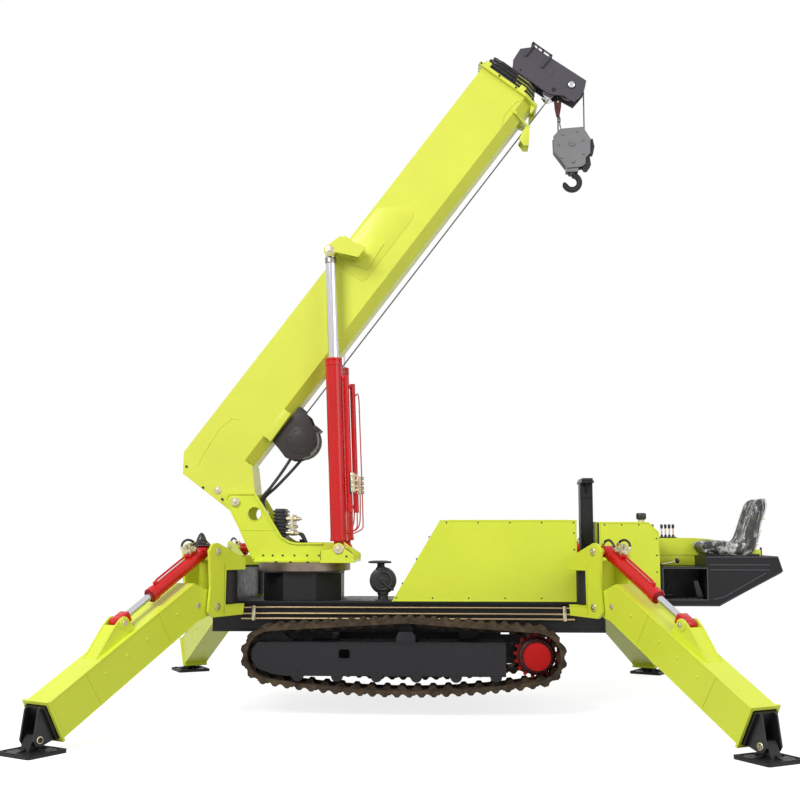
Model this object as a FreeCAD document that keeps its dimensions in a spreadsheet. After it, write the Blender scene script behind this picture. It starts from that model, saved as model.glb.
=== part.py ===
import FreeCAD, Part
import math
import os
import Sketcher

# A spider crane of the eight tonne class, standing on its four outriggers.
# X runs along the chassis towards the operator's end, Y is across it and Z is up.
# Z is 0 under the pads. Lengths are in millimetres and angles in degrees.
# Front is the slewing column's end (-X), rear is the operator's end (+X), and left
# is the side at -Y.

os.makedirs("parts", exist_ok=True)
doc = FreeCAD.newDocument("SpiderCrane")

# Driving dimensions, each an alias of the sheet.
SIZES = {
    # Where the chassis centre stands from the origin
    "chassis_shift": -246.7,
    # Chassis frame and deck
    "frame_length": 3600,
    "frame_half": 360,
    "frame_low": 700,
    "deck_top": 980,
    "deck_half": 410,
    "deck_plate": 12,
    "frame_wall": 12,
    "front_axle": -780,
    "rear_axle": 560,
    "axle_half": 90,
    "axle_low": 480,
    "axle_deep": 120,
    # Outrigger hinge barrels and the cross-beams that carry them
    "hinge_along": 1615,
    "hinge_across": 741,
    "barrel_radius": 112,
    "barrel_low": 985,
    "barrel_high": 1272,
    "barrel_bore": 45,
    "beam_half": 65,
    "beam_high": 1262,
    # Slewing column
    "slew_back": 997,
    "column_across": 730,
    "column_high": 1250,
    "ring_radius": 435,
    "ring_gap": 0.3,
    # Tracks
    "track_gap": 40,
    "track_width": 400,
    "sprocket_along": 1150,
    "sprocket_high": 525,
    "idler_along": -1198,
    "idler_high": 535,
    "track_bend": 207,
    "wheel_radius": 201.4,
    "belt_thick": 30,
    "lug_tall": 25,
    "lug_count": 56,
    "guide_count": 44,
    "guide_tall": 34,
    "guide_wide": 38,
    "guide_across": 78,
    "crown_high": 812,
    "crown_radius": 48,
    "crown_along": 0,
    "track_sag": 92,
    "seat_gap": 0.3,
    "wheel_wide": 96,
    "roller_radius": 58,
    "roller_high": 373,
    "roller_first": -954,
    "roller_pitch": 349,
    "roller_count": 6,
    "frame_front": -1362,
    "frame_rear": 879,
    "side_beam_low": 352,
    "side_beam_high": 643,
    "side_beam_half": 175,
    "sprocket_hub": 118,
    "hub_in": 148,
    "hub_out": 186,
    "tooth_count": 17,
    "tooth_tall": 30,
    # Engine hood, engine, boom rest, rear cowl, console, step box and seat
    "hood_half": 420,
    "hood_low": 980,
    "hood_high": 1719,
    "hood_front": -141,
    "hood_shoulder": 302,
    "hood_rear": 1547,
    "sheet_wall": 4,
    "engine_front": 450,
    "engine_rear": 1330,
    "engine_half": 270,
    "engine_high": 1480,
    "post_front": 1620,
    "post_deep": 116,
    "post_half": 90,
    "post_high": 2066,
    "post_cap": 22,
    "post_cap_half": 210,
    "cowl_front": 1750,
    "cowl_rear": 2292,
    "cowl_half": 420,
    "cowl_low": 1100,
    "cowl_high": 1701,
    "cowl_chamfer": 95,
    "rail_across": 250,
    "rail_half": 50,
    "console_rear": 3250,
    "console_high": 1553,
    "console_inner": 60,
    "console_rear_high": 1460,
    "box_front": 2300,
    "box_rear": 3390,
    "box_half": 420,
    "box_low": 944,
    "box_high": 1392,
    "box_step": 96,
    "well_front": 2320,
    "well_rear": 2710,
    "well_low": 1005,
    "well_high": 1280,
    "well_deep": 380,
    "seat_front": 2665,
    "seat_rear": 3262,
    "seat_across": -190,
    "seat_half": 225,
    "seat_thick": 110,
    "seat_back_high": 1957,
    "seat_back_thick": 185,
    "seat_back_foot": 250,
    "seat_lean": 100,
    "seat_round": 45,
    # Turret frame
    "turret_inner": 206,
    "turret_plate": 28,
    "turret_floor": 1349,
    "turret_base": 22,
    "pivot_along": -1630,
    "pivot_high": 1893,
    "boom_pin": 45,
    "luff_along": -634,
    "luff_high": 1452,
    "luff_across": 337,
    "lug_radius": 57,
    "lug_plate": 20,
    "turret_hole": 63,
    # Boom
    "boom_angle": 52.6,
    "boom_deep": 605,
    "boom_half": 200,
    "boom_low": 88,
    "boom_wall": 10,
    "boom_chamfer": 90,
    "boom_start": 360,
    "boom_end": 4820,
    "boom_count": 5,
    "section_side_step": 28,
    "section_deep_step": 28,
    "section_wall": 8,
    "section_start": 420,
    "section_step": 110,
    "collar_pitch": 46,
    "collar_thick": 28,
    "collar_proud": 12,
    "end_proud": 45,
    "end_thick": 30,
    "saddle_along": 2427,
    "saddle_high": 728,
    "head_sheave_out": 378,
    "head_sheave_drop": 181,
    "head_plate": 16,
    "head_half": 80,
    "sheave_radius": 119.7,
    "sheave_wide": 50,
    # Luff cylinders
    "luff_barrel_radius": 78,
    "luff_barrel_end": 1780,
    "luff_neck": 74,
    "luff_rod_radius": 50,
    "luff_eye_radius": 62,
    "luff_eye_half": 48,
    "ear_thick": 20,
    "side_gap": 6,
    # Winch
    "winch_along": 830,
    "winch_low": -118,
    "drum_radius": 120,
    "flange_radius": 218,
    "drum_half": 120,
    "flange_thick": 12,
    "winch_plate": 14,
    # Hook block
    "block_drop": 625,
    "block_half": 45,
    "block_plate": 14,
    "hook_drop": 330,
    "hook_bend": 72,
    "hook_thick": 27,
    "hook_shank": 60,
    "block_sheave": 120,
    "block_pin": 50,
    "rope_radius": 7,
    # Outriggers, in the plane of the leg, from the hinge axis
    "leg_azimuth": 60,
    "leg_slope": 28,
    "leg_pivot_out": 280,
    "leg_pivot_high": 974,
    "leg_root": 129,
    "leg_end": 1871,
    "leg_low": -11,
    "leg_high": 299,
    "leg_half": 125,
    "leg_wall": 10,
    "leg_pin": 30,
    "leg_flange": 16,
    "leg_flange_thick": 20,
    "eye_along": 919,
    "eye_high": 397,
    "eye_radius": 46,
    "eye_half": 52,
    "lift_up": 470,
    "lift_barrel_radius": 57,
    "lift_barrel_end": 740,
    "lift_rod_radius": 30,
    "lift_bore_start": 150,
    "lift_rod_start": 480,
    "bracket_half": 150,
    "bracket_plate": 25,
    "inner_gap": 8,
    "inner_wall": 8,
    "inner_start": 646,
    "foot_along": 2006,
    "foot_high": 83,
    "pad_side": 360,
    "pad_thick": 25,
    "pin_gap": 0.3,
    "move_gap": 6,
}

sheet = doc.addObject("Spreadsheet::Sheet", "Sizes")
for row, (alias, number) in enumerate(SIZES.items(), 1):
    sheet.set("A%d" % row, alias)
    sheet.set("B%d" % row, str(number))
    sheet.setAlias("B%d" % row, alias)
doc.recompute()


class Size:
    """A length or an angle with the sheet's expression that gives it."""

    def __init__(self, number, text):
        self.number = number
        self.text = text

    def __add__(self, other):
        other = as_size(other)
        return Size(self.number + other.number, "(%s + %s)" % (self.text, other.text))

    def __sub__(self, other):
        other = as_size(other)
        return Size(self.number - other.number, "(%s - %s)" % (self.text, other.text))

    def __mul__(self, other):
        other = as_size(other)
        return Size(self.number * other.number, "(%s * %s)" % (self.text, other.text))

    def __truediv__(self, other):
        other = as_size(other)
        return Size(self.number / other.number, "(%s / %s)" % (self.text, other.text))

    def __radd__(self, other):
        return as_size(other) + self

    def __rsub__(self, other):
        return as_size(other) - self

    def __rmul__(self, other):
        return as_size(other) * self

    def __neg__(self):
        return Size(-self.number, "(-1 * %s)" % self.text)


def as_size(value):
    """A plain number as a Size."""
    return value if isinstance(value, Size) else Size(value, "(%s)" % repr(value))


def number_of(value):
    """The number of a Size, or the plain number itself."""
    return value.number if isinstance(value, Size) else value


def cosine(angle):
    angle = as_size(angle)
    return Size(math.cos(math.radians(angle.number)), "cos(%s)" % angle.text)


def sine(angle):
    angle = as_size(angle)
    return Size(math.sin(math.radians(angle.number)), "sin(%s)" % angle.text)


def span(rise, run):
    """The distance over a rise and a run."""
    rise = as_size(rise)
    run = as_size(run)
    return Size(math.hypot(rise.number, run.number), "hypot(%s; %s)" % (rise.text, run.text))


def slope(rise, run):
    """The angle of a rise over a run, in degrees."""
    rise = as_size(rise)
    run = as_size(run)
    turn = math.degrees(math.atan2(rise.number, run.number))
    return Size(turn, "(atan2(%s; %s) / 1 deg)" % (rise.text, run.text))


class Named:
    """The sheet's sizes by name."""


size = Named()
for alias in SIZES:
    setattr(size, alias, Size(float(sheet.get(alias)), "Sizes." + alias))

# The tracks stand clear of the frame's sides, and the head's sheave lies off the boom's end
track_across = size.frame_half + size.track_gap + size.track_width / 2
head_sheave_along = size.boom_end + size.head_sheave_out
head_sheave_low = size.boom_low - size.head_sheave_drop


def bind(thing, prop, value):
    """Sets a property to a Size and ties it to the sheet."""
    if isinstance(value, Size):
        thing.setExpression(prop, value.text)


def place(thing, at=(0, 0, 0), axis=(0, 0, 1), turn=0):
    """Puts a thing at a point, turned about an axis."""
    point = FreeCAD.Vector(*[number_of(value) for value in at])
    rotation = FreeCAD.Rotation(FreeCAD.Vector(*axis), number_of(turn))
    thing.Placement = FreeCAD.Placement(point, rotation)
    for letter, value in zip("xyz", at):
        bind(thing, "Placement.Base." + letter, value)
    bind(thing, "Placement.Rotation.Angle", turn)
    return thing


AXES = {"x": ((0, 1, 0), 90), "y": ((1, 0, 0), -90), "z": ((0, 0, 1), 0)}


def box(name, low, high):
    """A box from its lowest to its highest corner."""
    thing = doc.addObject("Part::Box", name)
    for prop, start, end in zip(("Length", "Width", "Height"), low, high):
        extent = as_size(end) - start
        setattr(thing, prop, number_of(extent))
        bind(thing, prop, extent)
    return place(thing, low)


def rod(name, axis, start, radius, length):
    """A round bar along an axis, from the centre of its first end."""
    thing = doc.addObject("Part::Cylinder", name)
    thing.Radius = number_of(radius)
    thing.Height = number_of(length)
    bind(thing, "Radius", radius)
    bind(thing, "Height", length)
    direction, turn = AXES[axis]
    return place(thing, start, direction, turn)


def bar(name, x, z, radius, half, across=0):
    """A round bar along Y, to both sides of a point."""
    return rod(name, "y", (x, as_size(across) - half, z), radius, 2 * as_size(half))


def join(name, *things):
    """One solid of several that meet."""
    thing = doc.addObject("Part::MultiFuse", name)
    thing.Shapes = list(things)
    thing.Refine = True
    return thing


def cut(name, base, *tools):
    """A solid less others."""
    thing = doc.addObject("Part::Cut", name)
    thing.Base = base
    thing.Tool = tools[0] if len(tools) == 1 else join(name + "Tools", *tools)
    return thing


def group(name, *things):
    """Solids that share a node without touching."""
    thing = doc.addObject("Part::Compound", name)
    thing.Links = list(things)
    return thing


def draw(sketch, corners):
    """Draws a closed outline of straight runs, each corner tied to the sheet."""
    first = sketch.GeometryCount
    count = len(corners)
    points = [FreeCAD.Vector(number_of(x), number_of(y), 0) for x, y in corners]
    for k in range(count):
        sketch.addGeometry(Part.LineSegment(points[k], points[(k + 1) % count]), False)
    for k in range(count):
        line = first + k
        after = first + (k + 1) % count
        sketch.addConstraint(Sketcher.Constraint("Coincident", line, 2, after, 1))
    for k, corner in enumerate(corners):
        for kind, axis, value in zip(("DistanceX", "DistanceY"), (-2, -1), corner):
            if number_of(value) == 0:
                sketch.addConstraint(Sketcher.Constraint("PointOnObject", first + k, 1, axis))
                continue
            constraint = Sketcher.Constraint(kind, -1, 1, first + k, 1, number_of(value))
            index = sketch.addConstraint(constraint)
            bind(sketch, "Constraints[%d]" % index, value)


def draw_circle(sketch, x, y, radius):
    """Draws a circle tied to the sheet."""
    centre = FreeCAD.Vector(number_of(x), number_of(y), 0)
    index = sketch.addGeometry(Part.Circle(centre, FreeCAD.Vector(0, 0, 1), number_of(radius)), False)
    for kind, axis, value in (("DistanceX", -2, x), ("DistanceY", -1, y)):
        if number_of(value) == 0:
            sketch.addConstraint(Sketcher.Constraint("PointOnObject", index, 3, axis))
            continue
        mark = sketch.addConstraint(Sketcher.Constraint(kind, -1, 1, index, 3, number_of(value)))
        bind(sketch, "Constraints[%d]" % mark, value)
    mark = sketch.addConstraint(Sketcher.Constraint("Radius", index, number_of(radius)))
    bind(sketch, "Constraints[%d]" % mark, radius)


def start_sketch(body, name, plane):
    """A sketch on one of the body's own planes."""
    sketch = body.newObject("Sketcher::SketchObject", name)
    planes = [item for item in body.Origin.OriginFeatures if item.Role == plane + "_Plane"]
    sketch.AttachmentSupport = [(planes[0], "")]
    sketch.MapMode = "FlatFace"
    return sketch


def slab(name, plane, corners, thick, holes=(), rounds=(), both=True):
    """A padded outline on a plane, with round holes and rounded corners.

    holes are (x, y, radius). rounds are (corner number, radius).
    """
    body = doc.addObject("PartDesign::Body", name)
    sketch = start_sketch(body, name + "Outline", plane)
    draw(sketch, corners)
    for x, y, radius in holes:
        draw_circle(sketch, x, y, radius)
    pad = body.newObject("PartDesign::Pad", name + "Pad")
    pad.Profile = sketch
    pad.Midplane = both
    pad.Length = number_of(thick)
    bind(pad, "Length", thick)
    sketch.Visibility = False
    for order, (corner, radius) in enumerate(rounds):
        doc.recompute()
        base = body.Tip
        fillet = body.newObject("PartDesign::Fillet", "%sRound%d" % (name, order))
        fillet.Base = (base, [edge_at(base.Shape, plane, corners[corner])])
        fillet.Radius = number_of(radius)
        bind(fillet, "Radius", radius)
    return body


def edge_at(shape, plane, corner):
    """The name of the straight edge that stands on an outline's corner."""
    x = number_of(corner[0])
    y = number_of(corner[1])
    spot = {"XZ": (x, None, y), "XY": (x, y, None), "YZ": (None, x, y)}[plane]
    for order, edge in enumerate(shape.Edges, 1):
        ends = [vertex.Point for vertex in edge.Vertexes]
        if len(ends) == 2 and all(
            value is None or abs(end[axis] - value) < 0.01
            for end in ends
            for axis, value in enumerate(spot)
        ):
            return "Edge%d" % order
    raise ValueError("no edge at that corner")


def copy_of(name, thing):
    """The same shape again, with a place of its own."""
    return group(name, thing)


NODES = []


def node(label, thing):
    """Names a finished sub-part, which names its file."""
    thing.Label = label
    NODES.append(thing)
    return thing


def along(x):
    """A place along the chassis, from its centre."""
    return size.chassis_shift + x


# How far round the hook's bend goes, from its shank to its point
HOOK_SWEEP = 250

SIDES = (("Left", -1), ("Right", 1))
ENDS = (("Front", -1), ("Rear", 1))


# Chassis frame

def chassis_frame():
    """The box frame, its deck, the cross-beams with the hinge barrels and the rear rails."""
    half_length = size.frame_length / 2
    frame = box("FrameBox", (along(-half_length), -size.frame_half, size.frame_low),
                (along(half_length), size.frame_half, size.deck_top - size.deck_plate))
    hollow = box("FrameHollow",
                 (along(-half_length) + size.frame_wall, size.frame_wall - size.frame_half,
                  size.frame_low + size.frame_wall),
                 (along(half_length) - size.frame_wall, size.frame_half - size.frame_wall,
                  size.deck_top - size.deck_plate - size.frame_wall))
    shell = cut("FrameShell", frame, hollow)
    deck = box("Deck", (along(-half_length), -size.deck_half, size.deck_top - size.deck_plate),
               (along(half_length), size.deck_half, size.deck_top))
    pieces = [shell, deck]
    for end, way in ENDS:
        middle = along(way * size.hinge_along)
        pieces.append(box(end + "Beam",
                          (middle - size.beam_half, -size.hinge_across, size.deck_top),
                          (middle + size.beam_half, size.hinge_across, size.beam_high)))
        for side, hand in SIDES:
            pieces.append(rod(end + side + "Barrel", "z",
                              (middle, hand * size.hinge_across, size.barrel_low),
                              size.barrel_radius, size.barrel_high - size.barrel_low))
    reach = track_across - size.side_beam_half - size.seat_gap
    for name, x in (("FrontAxle", size.front_axle), ("RearAxle", size.rear_axle)):
        pieces.append(box(name, (along(x) - size.axle_half, -reach, size.axle_low),
                          (along(x) + size.axle_half, reach, size.axle_low + size.axle_deep)))
        pieces.append(box(name + "Web", (along(x) - size.axle_half, -size.frame_half, size.axle_low),
                          (along(x) + size.axle_half, size.frame_half, size.frame_low)))
    for side, hand in SIDES:
        middle = hand * size.rail_across
        pieces.append(box(side + "Rail",
                          (along(half_length - 150), middle - size.rail_half, size.deck_top),
                          (along(size.box_front), middle + size.rail_half, size.cowl_low)))
    whole = join("FrameWhole", *pieces)
    bores = []
    for end, way in ENDS:
        for side, hand in SIDES:
            bores.append(rod(end + side + "Bore", "z",
                             (along(way * size.hinge_along), hand * size.hinge_across,
                              size.deck_top - 50),
                             size.barrel_bore, size.barrel_high - size.deck_top + 100))
    return node("chassis_frame", cut("ChassisFrame", whole, *bores))


def slew_column():
    """The eight-sided column that carries the slewing ring."""
    corner = size.column_across / 2
    short = corner * math.tan(math.pi / 8)
    outline = [(corner, -short), (corner, short), (short, corner), (-short, corner),
               (-corner, short), (-corner, -short), (-short, -corner), (short, -corner)]
    column = slab("Column", "XY", outline, size.column_high - size.deck_top, both=False)
    place(column, (along(-size.slew_back), 0, size.deck_top))
    return node("slew_column", column)


def side_pipes():
    """Three pipes along the left side of the frame, in two clamps."""
    pieces = []
    for order, high in enumerate((923, 867, 821)):
        pieces.append(rod("Pipe%d" % order, "x", (along(-1530), -size.frame_half - 24, high), 9, 3050))
    for order, x in enumerate((-1413, 1429)):
        pieces.append(box("PipeClamp%d" % order,
                          (along(x - 14), -size.frame_half - 40, 805),
                          (along(x + 14), -size.frame_half - size.seat_gap, 940)))
    return node("side_pipes", join("SidePipes", *pieces))


def deck_fitting():
    """The swivel fitting on the deck between the column and the hood."""
    across = -300
    middle = along(-229)
    stem = rod("FittingStem", "z", (middle, across, size.deck_top), 48, 110)
    wheel = bar("FittingWheel", middle, 1175, 125, 36, across)
    fork = rod("FittingNeck", "z", (middle - 20, across, 1270), 34, 60)
    plate = rod("FittingPlate", "z", (middle - 30, across, 1322), 110, 26)
    return node("deck_fitting", join("DeckFitting", stem, wheel, fork, plate))


# Tracks

def track_path():
    """The inner line of a track: (x, z, outward x, outward z) at even steps along it.

    It goes round the idler and the sprocket, rests on the carrier roller at its crown
    and sags below.
    """
    idler = (size.idler_along.number, size.idler_high.number)
    sprocket = (size.sprocket_along.number, size.sprocket_high.number)
    bend = size.track_bend.number
    crown = (size.crown_along.number, size.crown_high.number)
    sag = size.track_sag.number

    def tangent(centre, radius, point, hand):
        """The angle on a wheel from which a line runs to a point."""
        reach = math.hypot(point[0] - centre[0], point[1] - centre[1])
        heading = math.atan2(point[1] - centre[1], point[0] - centre[0])
        return heading + hand * math.acos(radius / reach)

    # The sagging run is a parabola, whose end tangents meet twice as deep as it hangs
    deep = ((idler[0] + sprocket[0]) / 2, min(idler[1], sprocket[1]) - bend - 2 * sag)
    rise = tangent(idler, bend, crown, 1)
    fall = tangent(sprocket, bend, crown, -1)
    leave = tangent(sprocket, bend, deep, 1)
    reach = tangent(idler, bend, deep, -1)
    stops = []
    turns = 16
    for k in range(turns + 1):
        angle = fall + (leave - fall) * k / turns
        stops.append((sprocket[0] + bend * math.cos(angle), sprocket[1] + bend * math.sin(angle)))
    first = stops[-1]
    angle = reach % (2 * math.pi)
    last = (idler[0] + bend * math.cos(angle), idler[1] + bend * math.sin(angle))
    for k in range(1, turns):
        t = k / turns
        stops.append(tuple(first[i] * (1 - t) ** 2 + deep[i] * 2 * t * (1 - t) + last[i] * t ** 2
                           for i in range(2)))
    end = rise % (2 * math.pi)
    turn = (end - angle) % (2 * math.pi)
    turn = turn - 2 * math.pi
    for k in range(turns + 1):
        spot = angle + turn * k / turns
        stops.append((idler[0] + bend * math.cos(spot), idler[1] + bend * math.sin(spot)))
    stops.append(crown)
    return stops


def walk(stops, count):
    """Points at even steps round a closed line, each with the way out of the loop."""
    lengths = []
    closed = stops + [stops[0]]
    for a, b in zip(closed, closed[1:]):
        lengths.append(math.hypot(b[0] - a[0], b[1] - a[1]))
    total = sum(lengths)
    found = []
    for k in range(count):
        left = total * k / count
        for (a, b), length in zip(zip(closed, closed[1:]), lengths):
            if left <= length and length > 0:
                share = left / length
                way = ((b[0] - a[0]) / length, (b[1] - a[1]) / length)
                found.append((a[0] + way[0] * left, a[1] + way[1] * left, -way[1], way[0]))
                break
            left -= length
    return found


def smooth_line(stops, height):
    """A closed line round the loop, a height outside it."""
    steps = walk(stops, 72)
    points = [FreeCAD.Vector(x + out_x * height, 0, z + out_z * height)
              for x, z, out_x, out_z in steps]
    return Part.makePolygon(points + [points[0]])


def ring_solid(outer, inner, start, wide):
    """The solid between two closed lines, from one place across to another."""
    face = Part.Face([outer, inner])
    face.validate()
    solid = face.extrude(FreeCAD.Vector(0, wide, 0))
    return solid.transformGeometry(FreeCAD.Placement(FreeCAD.Vector(0, start, 0),
                                                     FreeCAD.Rotation()).toMatrix())


def toothed_line(stops, count, low, high):
    """A closed line round the loop that steps between two heights for each tooth."""
    steps = walk(stops, count * 4)
    points = []
    for k, (x, z, out_x, out_z) in enumerate(steps):
        height = high if k % 4 in (1, 2) else low
        points.append(FreeCAD.Vector(x + out_x * height, 0, z + out_z * height))
    return Part.makePolygon(points + [points[0]])


def rubber_tracks():
    """Both tracks: a belt with its tread lugs outside and two rows of guide teeth inside."""
    stops = track_path()
    thick = size.belt_thick.number
    tall = size.lug_tall.number
    wide = size.track_width.number
    guide = size.guide_tall.number
    outer = toothed_line(stops, int(size.lug_count.number), thick, thick + tall)
    belt = ring_solid(outer, smooth_line(stops, 0), -wide / 2, wide)
    rows = []
    for hand in (-1, 1):
        middle = hand * size.guide_across.number
        inner = toothed_line(stops, int(size.guide_count.number), 4, -guide)
        rows.append(ring_solid(smooth_line(stops, thick / 2), inner,
                               middle - size.guide_wide.number / 2, size.guide_wide.number))
    whole = belt.fuse(rows)
    things = []
    for side, hand in SIDES:
        track = doc.addObject("Part::Feature", side + "Track")
        track.Shape = whole
        place(track, (along(0), hand * track_across, 0))
        things.append(track)
    return node("rubber_tracks", group("RubberTracks", *things))


def hub_start(hand):
    """Where a sprocket's hub starts along Y: its inner end on one side, its outer on the other."""
    middle = hand * track_across
    return middle - size.hub_in if hand > 0 else middle - size.hub_out


def drive_sprockets():
    """The toothed driving wheels with their hubs and final drives."""
    things = []
    for side, hand in SIDES:
        body = doc.addObject("PartDesign::Body", side + "Sprocket")
        disc = start_sketch(body, side + "SprocketDisc", "XZ")
        root = size.wheel_radius - size.tooth_tall
        draw_circle(disc, 0, 0, root)
        pad = body.newObject("PartDesign::Pad", side + "SprocketPad")
        pad.Profile = disc
        pad.Midplane = True
        bind(pad, "Length", size.wheel_wide * 0.5)
        tooth = start_sketch(body, side + "SprocketTooth", "XZ")
        tip = size.wheel_radius
        draw(tooth, [(-20, root - 6), (20, root - 6), (9, tip), (-9, tip)])
        rise = body.newObject("PartDesign::Pad", side + "SprocketToothPad")
        rise.Profile = tooth
        rise.Midplane = True
        bind(rise, "Length", size.wheel_wide * 0.5)
        doc.recompute()
        ring = body.newObject("PartDesign::PolarPattern", side + "SprocketTeeth")
        ring.Originals = [rise]
        ring.Axis = (disc, ["N_Axis"])
        ring.Angle = 360
        ring.Occurrences = int(size.tooth_count.number)
        body.Tip = ring
        place(body, (along(size.sprocket_along), hand * track_across, size.sprocket_high))
        hub = rod(side + "Hub", "y",
                  (along(size.sprocket_along),
                   hub_start(hand), size.sprocket_high),
                  size.sprocket_hub, size.hub_out + size.hub_in)
        things.append(join(side + "SprocketWhole", body, hub))
    return node("drive_sprockets", group("DriveSprockets", *things))


def idlers():
    """The idler wheel of each track, in its fork."""
    things = []
    for side, hand in SIDES:
        middle = hand * track_across
        half = size.wheel_wide / 2
        idler = bar(side + "Idler", along(size.idler_along), size.idler_high,
                    size.wheel_radius, half, middle)
        hub = bar(side + "IdlerHub", along(size.idler_along), size.idler_high, 62,
                  size.wheel_wide / 2 + 8 - size.seat_gap, middle)
        things.append(join(side + "IdlerWhole", idler, hub))
    return node("idlers", group("Idlers", *things))


def track_frames():
    """The side beams between the runs of each track, with their rollers' brackets."""
    things = []
    for side, hand in SIDES:
        nose = along(size.frame_front)
        middle = hand * track_across
        outline = [(nose, size.idler_high - 42), (nose + 52, size.idler_high - 118),
                   (nose + 164, size.idler_high - 160), (nose + 300, size.side_beam_low),
                   (along(size.frame_rear), size.side_beam_low),
                   (along(size.frame_rear), size.side_beam_high),
                   (nose + 52, size.side_beam_high), (nose, size.idler_high + 42)]
        beam = slab(side + "SideBeam", "XZ", outline, 2 * size.side_beam_half)
        place(beam, (0, middle, 0))
        half = size.wheel_wide / 2
        slot = box(side + "IdlerSlot",
                   (nose - 20, middle - half - 8, size.side_beam_low - 20),
                   (along(size.idler_along) + size.track_bend + 12, middle + half + 8,
                    size.side_beam_high + 20))
        pieces = [cut(side + "BeamSlotted", beam, slot)]
        for order in range(int(size.roller_count.number)):
            spot = along(size.roller_first + order * size.roller_pitch)
            pieces.append(bar("%sRoller%d" % (side, order), spot, size.roller_high,
                              size.roller_radius, half + 4, middle))
        crown = along(size.crown_along)
        pieces.append(bar(side + "Carrier", crown,
                          size.crown_high - size.seat_gap - size.crown_radius, size.crown_radius,
                          half, middle))
        for edge in (-1, 1):
            cheek = middle + edge * (half + 6)
            pieces.append(box("%sCarrierCheek%d" % (side, edge + 1),
                              (crown - 60, cheek - 7, size.side_beam_high - 5),
                              (crown + 60, cheek + 7, size.crown_high - size.crown_radius)))
        inside = middle - hand * (size.hub_in + 14)
        pieces.append(box(side + "DriveArm",
                          (along(size.frame_rear) - 60, inside - 13.7, size.sprocket_high - 90),
                          (along(size.sprocket_along) + 110, inside + 13.7, size.sprocket_high + 90)))
        things.append(join(side + "TrackFrame", *pieces))
    return node("track_frames", group("TrackFrames", *things))


# Housings on the chassis

def engine_hood():
    """The sheet metal hood, open below, over the engine."""
    outline = [(along(size.hood_front), size.hood_low), (along(size.hood_rear), size.hood_low),
               (along(size.hood_rear), size.hood_high), (along(size.hood_shoulder), size.hood_high)]
    outer = slab("HoodOuter", "XZ", outline, 2 * size.hood_half)
    wall = size.sheet_wall
    lean = span(size.hood_high - size.hood_low, size.hood_shoulder - size.hood_front)
    slant = wall * lean / (size.hood_high - size.hood_low)
    run = (size.hood_shoulder - size.hood_front) / (size.hood_high - size.hood_low)
    inner_outline = [(along(size.hood_front) + slant - 10 * run, size.hood_low - 10),
                     (along(size.hood_rear) - wall, size.hood_low - 10),
                     (along(size.hood_rear) - wall, size.hood_high - wall),
                     (along(size.hood_shoulder) + slant - wall * run, size.hood_high - wall)]
    inner = slab("HoodInner", "XZ", inner_outline, 2 * (size.hood_half - wall))
    return node("engine_hood", cut("EngineHood", outer, inner))


def engine_block():
    """The engine, as one block."""
    return node("engine_block", box("EngineBlock",
                (along(size.engine_front), -size.engine_half, size.deck_top),
                (along(size.engine_rear), size.engine_half, size.engine_high)))


def boom_rest():
    """The post on which the lowered boom rests, with its cap plate."""
    post = box("RestPost",
               (along(size.post_front), -size.post_half, size.beam_high + size.seat_gap),
               (along(size.post_front) + size.post_deep, size.post_half, size.post_high))
    cap = box("RestCap", (along(size.post_front), -size.post_cap_half, size.post_high),
              (along(size.post_front) + size.post_deep, size.post_cap_half,
               size.post_high + size.post_cap))
    return node("boom_rest", join("BoomRest", post, cap))


def rear_cowl():
    """The cowl behind the boom rest, with its bevelled rear edge."""
    outline = [(along(size.cowl_front), size.cowl_low), (along(size.cowl_rear), size.cowl_low),
               (along(size.cowl_rear), size.cowl_high - size.cowl_chamfer),
               (along(size.cowl_rear) - size.cowl_chamfer, size.cowl_high),
               (along(size.cowl_front), size.cowl_high)]
    return node("rear_cowl", slab("RearCowl", "XZ", outline, 2 * size.cowl_half))


def console():
    """The side housing beside the seat, its top falling to the rear."""
    outline = [(along(size.cowl_rear), size.box_high), (along(size.console_rear), size.box_high),
               (along(size.console_rear), size.console_rear_high),
               (along(size.console_rear) - 420, size.console_high - 8),
               (along(size.console_rear) - 560, size.console_high),
               (along(size.cowl_rear), size.console_high)]
    body = slab("Console", "XZ", outline, size.box_half - size.console_inner)
    place(body, (0, (size.box_half + size.console_inner) / 2, 0))
    return node("console", body)


def control_levers():
    """The levers on the console, on their plate."""
    top = size.console_high
    pieces = [box("LeverPlate", (along(2300), 90, top), (along(2540), 200, top + 8))]
    for order, x in enumerate((2325, 2412, 2448, 2484, 2520)):
        pieces.append(rod("LeverStem%d" % order, "z", (along(x), 145, top), 6, 100))
        pieces.append(rod("LeverKnob%d" % order, "z", (along(x), 145, top + 90), 13, 40))
    return node("control_levers", join("ControlLevers", *pieces))


def step_box():
    """The folded step box under the seat, with its open footwell."""
    outline = [(along(size.box_front), 1073), (along(size.box_front) + 85, size.box_low),
               (along(2814), size.box_low), (along(size.box_rear), 1258),
               (along(size.box_rear) - 41, size.box_high), (along(2703), size.box_high),
               (along(2703), size.box_high - size.box_step),
               (along(size.box_front), size.box_high - size.box_step)]
    whole = slab("StepBoxWhole", "XZ", outline, 2 * size.box_half)
    well = box("FootWell", (along(size.well_front), -size.box_half - 10, size.well_low),
               (along(size.well_rear), size.well_deep - size.box_half, size.well_high))
    return node("step_box", cut("StepBox", whole, well))


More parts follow.
